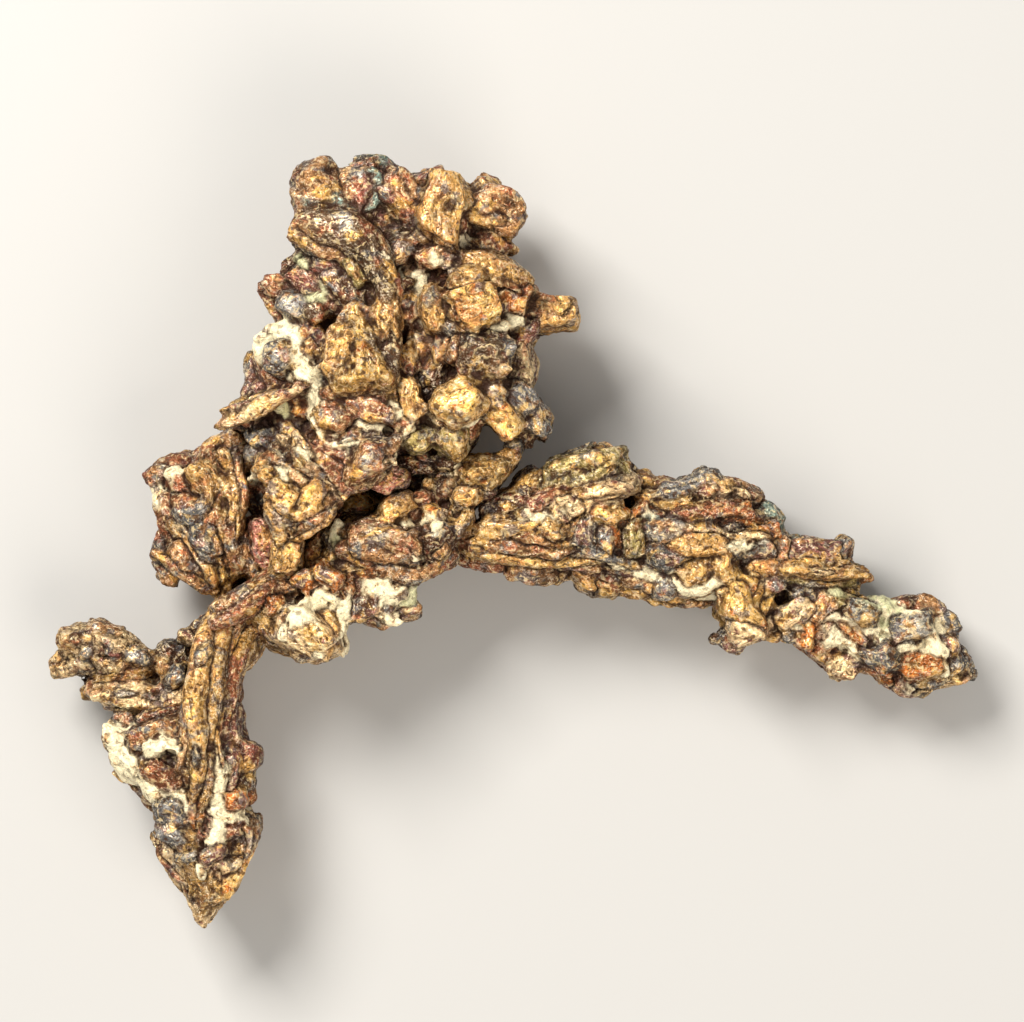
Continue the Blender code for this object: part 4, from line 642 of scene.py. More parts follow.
def colour_skin(piece, crystals):
    """Stores on the skin its colour, its share of calcite, how far dirt and painted shade darken each point
    in hollows and seams, how far wear and painted highlight lighten it on crests, and the painted shade on
    each crystal's flanks.
    """
    mesh = piece.data
    points, normals = positions(mesh)
    flat = points / MM
    wander = np.stack([waves(flat / 1.7 + 40.0 * k, 20 + k) for k in range(3)], axis=1)
    grown = points - warp(points - warp(points))
    owner, first, runner, second = owners(crystals, grown + wander * 0.55 * MM)
    order = list(FINISHES)
    tints = np.array([linear(FINISHES[finish][0]) for finish in order])
    stones = np.array([FINISHES[finish][1] for finish in order])
    partners = np.array([[order.index(name) for name in FINISHES[finish][2:]] for finish in order])
    finish = np.array([order.index(crystal.finish) for crystal in crystals])
    shade = np.array([
        SHADES.get(crystal.form) or np.random.default_rng([77, crystal.group + 1]).uniform(DARKEST, LIGHTEST)
        for crystal in crystals
    ])

    mixed = [0.0, 0.0]
    across = 0.5 * np.exp(-np.maximum(second - first, 0.0) / (BLEND_WIDTH * MM))
    for which, blend in ((owner, 1.0 - across), (runner, across)):
        kind = finish[which]
        tint = tints[kind] * np.where(stones[kind] > 0.9, STONE_SHADE, shade[which])[:, None]
        stone = stones[kind]
        # Patches of the finish's two partners: some of the first, 2.6 mm apart, and fewer of the second.
        for column, spread, bar, seed in ((0, 2.6, 0.26, 31), (1, 1.9, 0.36, 37)):
            patch = waves((flat + wander * 0.8) / spread + which[:, None] * 0.13, seed)
            patch += 0.5 * waves(flat / spread * 2.3, seed + 1)
            patch = np.clip((patch - bar) / 0.12, 0.0, 1.0)
            other = partners[kind, column]
            tint = tint * (1.0 - patch[:, None]) + tints[other] * patch[:, None]
            stone = stone * (1.0 - patch) + stones[other] * patch
        mixed[0] = mixed[0] + tint * blend[:, None]
        mixed[1] = mixed[1] + stone * blend
    tint, calcite = mixed
    group = np.array([crystal.group for crystal in crystals])
    seam = np.exp(-np.maximum(second - first, 0.0) / (SEAM_DARK_WIDTH * MM))
    seam *= np.clip(2.2 * chance(group[owner], group[runner]) - 0.3, 0.0, 1.0)
    # Hollows and their sides are darkened, partly by dirt and partly as painted shade, and crests are
    # lightened, partly by wear from handling and partly as painted highlight: pits of a few tenths of a
    # millimetre, gaps of a millimetre, and the deep spaces between crystals.
    dirt_and_shade, wear_and_highlight = np.zeros(len(points)), np.zeros(len(points))
    for rounds, depth, start, dirt_and_shade_share, wear in (
        (3, 0.10, 0.1, 0.50, 0.55),
        (12, 0.26, 0.2, 0.42, 0.30),
        (50, 0.75, 0.3, 0.40, 0.15),
    ):
        sunk = hollowness(mesh, points, normals, rounds) / (depth * MM)
        dirt_and_shade += dirt_and_shade_share * np.clip(sunk - start, 0, 1)
        wear_and_highlight += wear * np.clip(-sunk, 0, 1)
    # Seams between crystal groups are darkened too: partly dirt, partly painted shade in the crease.
    dirt_and_shade += 0.35 * seam
    # Painted shade on each crystal's flanks: its colour is darker halfway between the crystal's top and
    # bottom, and lighter towards them.
    painted_flank_shade = np.zeros(len(points))
    skin = mesh.attributes.new("skin", "FLOAT_COLOR", "POINT")
    skin.data.foreach_set("color", np.column_stack([tint, np.ones(len(points))]).astype(np.float32).ravel())
    grain = np.zeros((len(points), 3))
    for index, crystal in enumerate(crystals):
        mine = np.flatnonzero(owner == index)
        here = crystal.local(grown[mine])
        grain[mine] = here + wander[mine] * 0.5 * MM + index * 0.0371
        painted_flank_shade[mine] = np.abs(here[:, 2]) / crystal.half[2]
    for label, values in (
        ("calcite", calcite),
        ("dirt_and_shade", np.clip(dirt_and_shade, 0, 1)),
        ("wear_and_highlight", wear_and_highlight),
        ("painted_flank_shade", np.clip(painted_flank_shade, 0, 1)),
    ):
        store = mesh.attributes.new(label, "FLOAT", "POINT")
        store.data.foreach_set("value", values.astype(np.float32))
    store = mesh.attributes.new("grain", "FLOAT_VECTOR", "POINT")
    store.data.foreach_set("vector", grain.astype(np.float32).ravel())


def add(tree, kind, inputs=None, **settings):
    """Adds a node with its settings; each input is a value or another node's output."""
    made = tree.nodes.new(kind)
    for name, value in settings.items():
        setattr(made, name, value)
    for name, value in (inputs or {}).items():
        if isinstance(value, bpy.types.NodeSocket):
            tree.links.new(value, made.inputs[name])
        else:
            made.inputs[name].default_value = value
    return made


def tarnished_copper(name):
    """Native copper under a thin brown tarnish, hackly and pitted, with calcite in its hollows.

    The eye sees warm brown and gold metal whose crests and worn points are brightened partly by wear and
    partly by painted highlight and painted glints, dirt and painted shade in every pit and hollow, painted
    shade on the flanks of each crystal, patches of slate-grey oxide, and white calcite that is dull and rough
    beside the metal.
    """
    material = bpy.data.materials.new(name)
    material.use_nodes = True
    tree = material.node_tree
    shader = tree.nodes["Principled BSDF"]
    place = add(tree, "ShaderNodeTexCoord").outputs["Object"]
    skin, calcite, dirt_and_shade, wear_and_highlight, painted_flank_shade, grain = (
        add(tree, "ShaderNodeAttribute", attribute_name=attribute).outputs[output]
        for attribute, output in (
            ("skin", "Color"),
            ("calcite", "Fac"),
            ("dirt_and_shade", "Fac"),
            ("wear_and_highlight", "Fac"),
            ("painted_flank_shade", "Fac"),
            ("grain", "Vector"),
        )
    )

    # Folds 1 mm apart run along each crystal, drawn out four times; grit is 0.3 mm; pits are 0.5 mm and stand
    # 1 mm apart; tarnish lies in patches of 3 to 6 mm; some places are worn smooth, 8 mm apart.
    drawn_out = {0: grain, 1: (260.0, 1050.0, 1050.0)}
    along = add(tree, "ShaderNodeVectorMath", drawn_out, operation="MULTIPLY").outputs[0]
    waves_of = {}
    for wave, vector, scale, detail, rough, distorted, output in (
        ("fold", along, 1.0, 3.0, 0.66, 0.9, "Fac"),
        ("grit", place, 3000.0, 2.0, 0.70, 0.0, "Fac"),
        ("pit", place, 1150.0, 1.5, 0.55, 0.6, "Fac"),
        ("patch", place, 210.0, 4.0, 0.62, 0.5, "Color"),
        ("wear", place, 120.0, 2.0, 0.50, 0.0, "Fac"),
    ):
        settings = {"Vector": vector, "Scale": scale, "Detail": detail, "Roughness": rough}
        settings["Distortion"] = distorted
        waves_of[wave] = add(tree, "ShaderNodeTexNoise", settings).outputs[output]
    fold, grit, pit, wear = (waves_of[wave] for wave in ("fold", "grit", "pit", "wear"))
    patch = add(tree, "ShaderNodeSeparateColor", {"Color": waves_of["patch"]}).outputs
    relief = add(tree, "ShaderNodeMath", {0: fold, 1: grit}, operation="ADD").outputs[0]

    # Layers from the skin outwards: what each follows, the values it starts and ends at, how much of it there
    # is at either end, and its colour. A layer without a colour lightens or darkens what is below it.
    tone, stone = skin, skin
    for value, start, end, least, most, colour in (
        (patch["Red"], 0.57, 0.63, 0.0, 0.45, "#96482c"),
        (patch["Green"], 0.57, 0.61, 0.0, 0.72, "#625f60"),
        (patch["Blue"], 0.56, 0.62, 0.0, 0.60, "#dcab55"),
        # Painted shade on each crystal's flanks, and painted light towards its top and bottom.
        (painted_flank_shade, 0.25, 0.95, 0.52, 1.16, None),
        # Crests and worn points lightened: partly wear, partly painted highlight.
        (wear_and_highlight, 0.10, 0.90, 1.0, 1.55, None),
        # Painted shade in the creases of the folds and painted highlight on their backs, following the fold
        # bump.
        (fold, 0.38, 0.60, 0.60, 1.50, None),
        # The same painted shade and highlight on the fine grit, following its bump.
        (grit, 0.36, 0.62, 0.84, 1.28, None),
        # Pits darkened: partly dirt, partly painted shade in the recess.
        (pit, 0.43, 0.36, 0.0, 0.66, "#4c290f"),
        # Painted glints on the rims of the pits.
        (pit, 0.56, 0.65, 0.0, 0.62, "#ffe3ab"),
        # Painted glints on the highest points of the relief.
        (relief, 1.06, 1.16, 0.0, 0.48, "#fff1d4"),
        (calcite, 0.3, 0.7, 0.0, 1.0, "stone"),
        # Pits darkened again, on calcite too: partly dark specks, partly painted shade in the recess.
        (pit, 0.41, 0.35, 0.0, 0.50, "#5d3d1f"),
        # Hollows and seams darkened towards near black: partly dirt, partly painted shade.
        (dirt_and_shade, 0.10, 0.85, 0.0, 0.90, "#371b0d"),
    ):
        values = {"Value": value, "From Min": start, "From Max": end, "To Min": least, "To Max": most}
        share = add(tree, "ShaderNodeMapRange", values).outputs["Result"]
        if colour is None:
            scaled = {0: tone, "Scale": share}
            tone = add(tree, "ShaderNodeVectorMath", scaled, operation="SCALE").outputs[0]
            continue
        if colour == "stone":
            # Calcite is painted darker in the dips of its relief and lighter on its tops: painted shade and
            # painted highlight.
            shaded = {"Value": relief, "From Min": 0.84, "From Max": 1.12, "To Min": 0.70, "To Max": 1.22}
            light = add(tree, "ShaderNodeMapRange", shaded).outputs["Result"]
            scaled = {0: stone, "Scale": light}
            over = add(tree, "ShaderNodeVectorMath", scaled, operation="SCALE").outputs[0]
        else:
            over = (*linear(colour), 1.0)
        # Calcite keeps less of the dirt and painted shade in its hollows.
        if value is dirt_and_shade:
            dark_kept_range = {"Value": calcite, "From Min": 0.0, "From Max": 1.0, "To Min": 1.0, "To Max": 0.30}
            dark_kept = add(tree, "ShaderNodeMapRange", dark_kept_range).outputs["Result"]
            share = add(tree, "ShaderNodeMath", {0: share, 1: dark_kept}, operation="MULTIPLY").outputs[0]
        tone = add(tree, "ShaderNodeMix", {0: share, 6: tone, 7: over}, data_type="RGBA").outputs[2]
    tree.links.new(tone, shader.inputs["Base Color"])

    # The metal is dull where it is tarnished and bright where it is worn; calcite is a stone, not a metal.
    for socket, value, start, end, least, most in (
        ("Metallic", calcite, 0.25, 0.7, 0.50, 0.0),
        ("Roughness", relief, 0.85, 1.20, 0.62, 0.30),
    ):
        values = {"Value": value, "From Min": start, "From Max": end, "To Min": least, "To Max": most}
        tree.links.new(add(tree, "ShaderNodeMapRange", values).outputs["Result"], shader.inputs[socket])

    # The relief is fainter where the metal is worn smooth, and on calcite.
    fade = {"Value": wear, "From Min": 0.40, "From Max": 0.60, "To Min": 0.35, "To Max": 1.0}
    strength = add(tree, "ShaderNodeMapRange", fade).outputs["Result"]
    soft = {"Value": calcite, "From Min": 0.3, "From Max": 0.9, "To Min": 1.0, "To Max": 0.55}
    softer = add(tree, "ShaderNodeMapRange", soft).outputs["Result"]
    strength = add(tree, "ShaderNodeMath", {0: strength, 1: softer}, operation="MULTIPLY").outputs[0]
    surface = None
    for height, distance in ((fold, 0.60 * MM), (pit, 0.90 * MM), (grit, 0.12 * MM)):
        values = {"Height": height, "Strength": strength, "Distance": distance}
        if surface:
            values["Normal"] = surface
        surface = add(tree, "ShaderNodeBump", values).outputs["Normal"]
    tree.links.new(surface, shader.inputs["Normal"])
    return material


def finished_branch(node, name, crystals, voxel, triangles):
    """Makes a branch's skin, colours it, and puts it in the place of its solid.

    The skin is melted in cells of this many millimetres, and has at most this many triangles.
    """
    piece = melted_skin(name, crystals, voxel, triangles)
    colour_skin(piece, crystals)
    piece.data.materials.clear()
    piece.data.materials.append(native_copper)
    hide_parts(node)
    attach(piece, "root")
    return piece


native_copper = tarnished_copper("tarnished_native_copper")

# x, y, height above the middle surface, length, width, turn in degrees, form, finish. Lengths in squares.
BAR = [
    # bridge under the crown's right foot
    (48.1, 47.3, 4.6, 6.0, 3.5, 12, "nugget", "yellow"),
    (50.2, 46.7, 4.0, 4.2, 1.9, 50, "block", "gold"),
    (46.8, 49.6, 5.4, 3.4, 2.6, 25, "nugget", "gold"),
    (48.6, 49.0, 4.4, 2.6, 2.0, 30, "nugget", "slate"),
    (45.5, 46.8, 4.4, 2.2, 0.7, 72, "crust", "calcite"),
    (43.2, 47.6, 3.4, 1.9, 1.4, 70, "nugget", "bronze"),
    (44.6, 47.7, 3.6, 2.0, 1.6, -20, "nugget", "bronze"),
    (42.7, 48.9, 4.2, 1.7, 1.3, 80, "nugget", "gold"),
    (45.1, 49.0, 4.2, 2.0, 1.5, 30, "nugget", "bronze"),
    (43.9, 49.4, 4.0, 1.8, 1.4, 20, "nugget", "umber"),
    (43.4, 51.3, 6.0, 2.8, 1.6, -24, "nugget", "yellow"),
    (39.6, 50.8, 5.6, 4.6, 2.3, 28, "block", "gold"),
    (42.0, 50.2, 5.0, 2.6, 1.8, 50, "block", "rust"),
    (37.6, 51.8, 4.8, 3.4, 1.6, 20, "nugget", "bronze"),
    (46.5, 52.2, 5.4, 3.0, 2.0, 72, "nugget", "bronze"),
    (45.8, 51.2, 3.6, 2.0, 1.6, 10, "nugget", "umber"),
    # front of the bar
    (38.4, 54.2, 5.6, 7.2, 3.6, -8, "block", "bronze"),
    (36.2, 52.8, 5.8, 3.8, 1.8, 12, "nugget", "rust"),
    (38.8, 53.2, 6.6, 4.6, 0.6, -22, "crust", "calcite"),
    (41.0, 54.9, 6.2, 2.2, 0.7, -60, "crust", "calcite"),
    (43.5, 53.9, 5.6, 4.8, 3.4, 12, "nugget", "umber"),
    (43.4, 52.8, 7.0, 1.3, 0.9, 10, "block", "calcite"),
    (44.4, 54.8, 6.2, 2.4, 1.6, 30, "nugget", "bronze"),
    (42.4, 56.5, 3.2, 5.8, 2.4, 26, "nugget", "rust"),
    (44.6, 55.9, 3.0, 3.2, 1.6, 26, "nugget", "bronze"),
    (41.4, 55.9, 5.6, 1.4, 0.8, 10, "nugget", "calcite"),
    (35.8, 55.3, 5.6, 3.8, 2.9, -35, "nugget", "rust"),
    (36.9, 57.0, 5.2, 3.4, 1.9, -10, "nugget", "amber"),
    (39.6, 56.9, 4.2, 3.4, 1.8, 10, "nugget", "rust"),
    (33.4, 54.5, 5.0, 4.0, 2.0, -70, "nugget", "olive"),
    (31.7, 54.3, 3.8, 4.0, 1.6, 60, "block", "bronze"),
    (33.4, 53.2, 6.0, 2.4, 1.1, 62, "crust", "calcite"),
    (33.9, 56.1, 4.2, 3.2, 1.4, -50, "rib", "umber"),
    # amber crystals above the knob
    (30.8, 58.0, 6.6, 3.2, 2.6, 20, "nugget", "amber"),
    (33.0, 57.7, 7.0, 3.2, 2.6, -30, "block", "amber"),
    (34.5, 58.7, 6.0, 2.2, 1.9, 50, "nugget", "amber"),
    (32.8, 59.6, 6.8, 2.6, 1.0, -30, "crust", "calcite"),
    (27.6, 60.5, 7.0, 2.2, 1.9, 60, "nugget", "amber"),
    # knob
    (30.5, 63.1, 6.2, 8.0, 5.8, -24, "smooth", "pale"),
    (27.8, 61.9, 5.4, 4.8, 3.8, -12, "smooth", "yellow"),
    (29.4, 64.9, 4.4, 6.4, 1.6, -22, "nugget", "gold"),
    (32.5, 64.8, 8.0, 1.9, 1.5, -20, "crust", "calcite"),
    (30.6, 61.7, 8.55, 2.9, 1.7, -20, "crust", "calcite"),
    (28.6, 62.9, 8.4, 1.5, 1.1, 60, "crust", "calcite"),
    (34.1, 63.2, 4.6, 5.0, 0.9, -80, "crust", "calcite"),
    # calcite cluster
    (38.6, 58.8, 4.8, 4.6, 3.0, -18, "crust", "calcite"),
    (36.4, 59.0, 4.8, 2.8, 2.2, 40, "crust", "calcite"),
    (40.1, 59.4, 4.2, 2.8, 2.6, 60, "crust", "celadon"),
    (36.0, 60.8, 5.0, 2.6, 1.8, 70, "block", "umber"),
    (37.3, 60.4, 5.4, 2.4, 0.9, 80, "block", "mauve"),
    (37.9, 61.0, 5.0, 1.8, 1.4, -30, "block", "calcite"),
    (35.3, 59.4, 5.4, 2.0, 0.9, 70, "block", "mauve"),
    (38.8, 60.7, 5.2, 1.6, 1.1, 20, "nugget", "mauve"),
    (37.4, 61.9, 3.4, 4.4, 1.5, -14, "nugget", "bronze"),
    (40.4, 61.3, 3.6, 3.0, 1.9, 8, "nugget", "bronze"),
    (39.2, 61.6, 4.2, 2.6, 1.1, 5, "block", "calcite"),
    # curved ribs running into the leg
    (25.0, 59.0, 5.6, 8.6, 1.7, 25, "rib", "bronze"),
    (24.6, 60.5, 6.4, 8.0, 1.9, 33, "rib", "rust"),
    (28.2, 59.0, 6.2, 4.6, 1.6, 8, "rib", "bronze"),
]
BAR_BANDS = [
    ("bronze", 0.2, [(33.5, 54.6, 1.4), (36.0, 54.2, 2.4), (38.6, 54.3, 2.8), (40.4, 55.5, 1.8)]),
    ("bronze", 0.3, [(34.6, 56.5, 1.2), (37.0, 56.7, 1.7), (39.6, 57.3, 2.0), (42.0, 57.5, 1.6),
                     (44.4, 56.2, 1.5), (46.2, 55.2, 0.9)]),
    ("calcite", 0.1, [(36.4, 53.0, 0.4), (37.6, 53.0, 0.6), (38.8, 53.3, 0.5), (39.6, 53.8, 0.4)]),
    ("calcite", 0.1, [(40.4, 54.4, 0.5), (40.9, 55.1, 0.7), (41.4, 55.4, 0.4)]),
    ("calcite", 0.2, [(41.0, 55.9, 0.6), (41.8, 55.9, 0.6)]),
    ("calcite", 0.0, [(40.6, 52.4, 0.4), (41.6, 52.0, 0.6), (42.6, 51.7, 0.4)]),
    ("calcite", 0.2, [(45.3, 48.0, 0.4), (45.4, 47.0, 0.7), (45.8, 46.2, 0.5)]),
    ("celadon", 0.2, [(33.6, 53.2, 0.7), (33.8, 54.2, 1.0), (32.8, 54.8, 0.7)]),
    ("calcite", 0.2, [(32.9, 58.2, 0.4), (32.6, 59.0, 0.5)]),
    ("calcite", 0.2, [(30.2, 60.4, 0.4), (31.4, 60.2, 0.6), (32.6, 60.4, 0.5)]),
    ("calcite", 0.2, [(33.9, 60.2, 0.5), (34.3, 61.4, 0.6), (34.5, 62.8, 0.5), (34.2, 64.4, 0.4)]),
    ("gold", 0.2, [(32.6, 60.9, 0.6), (33.5, 61.7, 0.9), (33.9, 63.2, 0.9), (33.5, 65.0, 0.8),
                   (32.6, 66.0, 0.6)]),
    ("calcite", 0.2, [(38.4, 61.3, 0.6), (39.2, 61.9, 0.8), (40.4, 62.2, 0.4)]),
    ("calcite", 0.3, [(34.8, 58.6, 0.5), (34.6, 60.0, 0.6), (35.2, 61.6, 0.5)]),
]
BAR_CORES = [
    (38.5, 54.2, 13.0, 5.6, 9.0, -5),
    (45.0, 53.0, 6.0, 5.6, 8.0, 0),
    (47.8, 48.8, 6.0, 3.6, 7.0, 20),
    (44.0, 49.6, 4.0, 4.0, 6.0, 0),
    (31.8, 57.4, 8.0, 4.6, 9.5, 10),
    (30.4, 62.6, 6.4, 5.0, 9.0, -25),
    (38.2, 59.4, 6.0, 3.6, 7.0, -10),
    (25.4, 60.2, 7.0, 3.0, 9.0, 30),
    (36.4, 61.0, 4.0, 2.4, 6.0, -10),
    (50.2, 46.9, 4.0, 2.0, 6.0, 45),
    (42.6, 51.4, 5.0, 3.4, 7.0, 0),
]
bar_crystals = branch_crystals(3, BAR, BAR_BANDS, BAR_CORES, [], lambda x: 10.5)
finished_branch("middle_bar", "bar_of_copper", bar_crystals, 0.30, 120000)

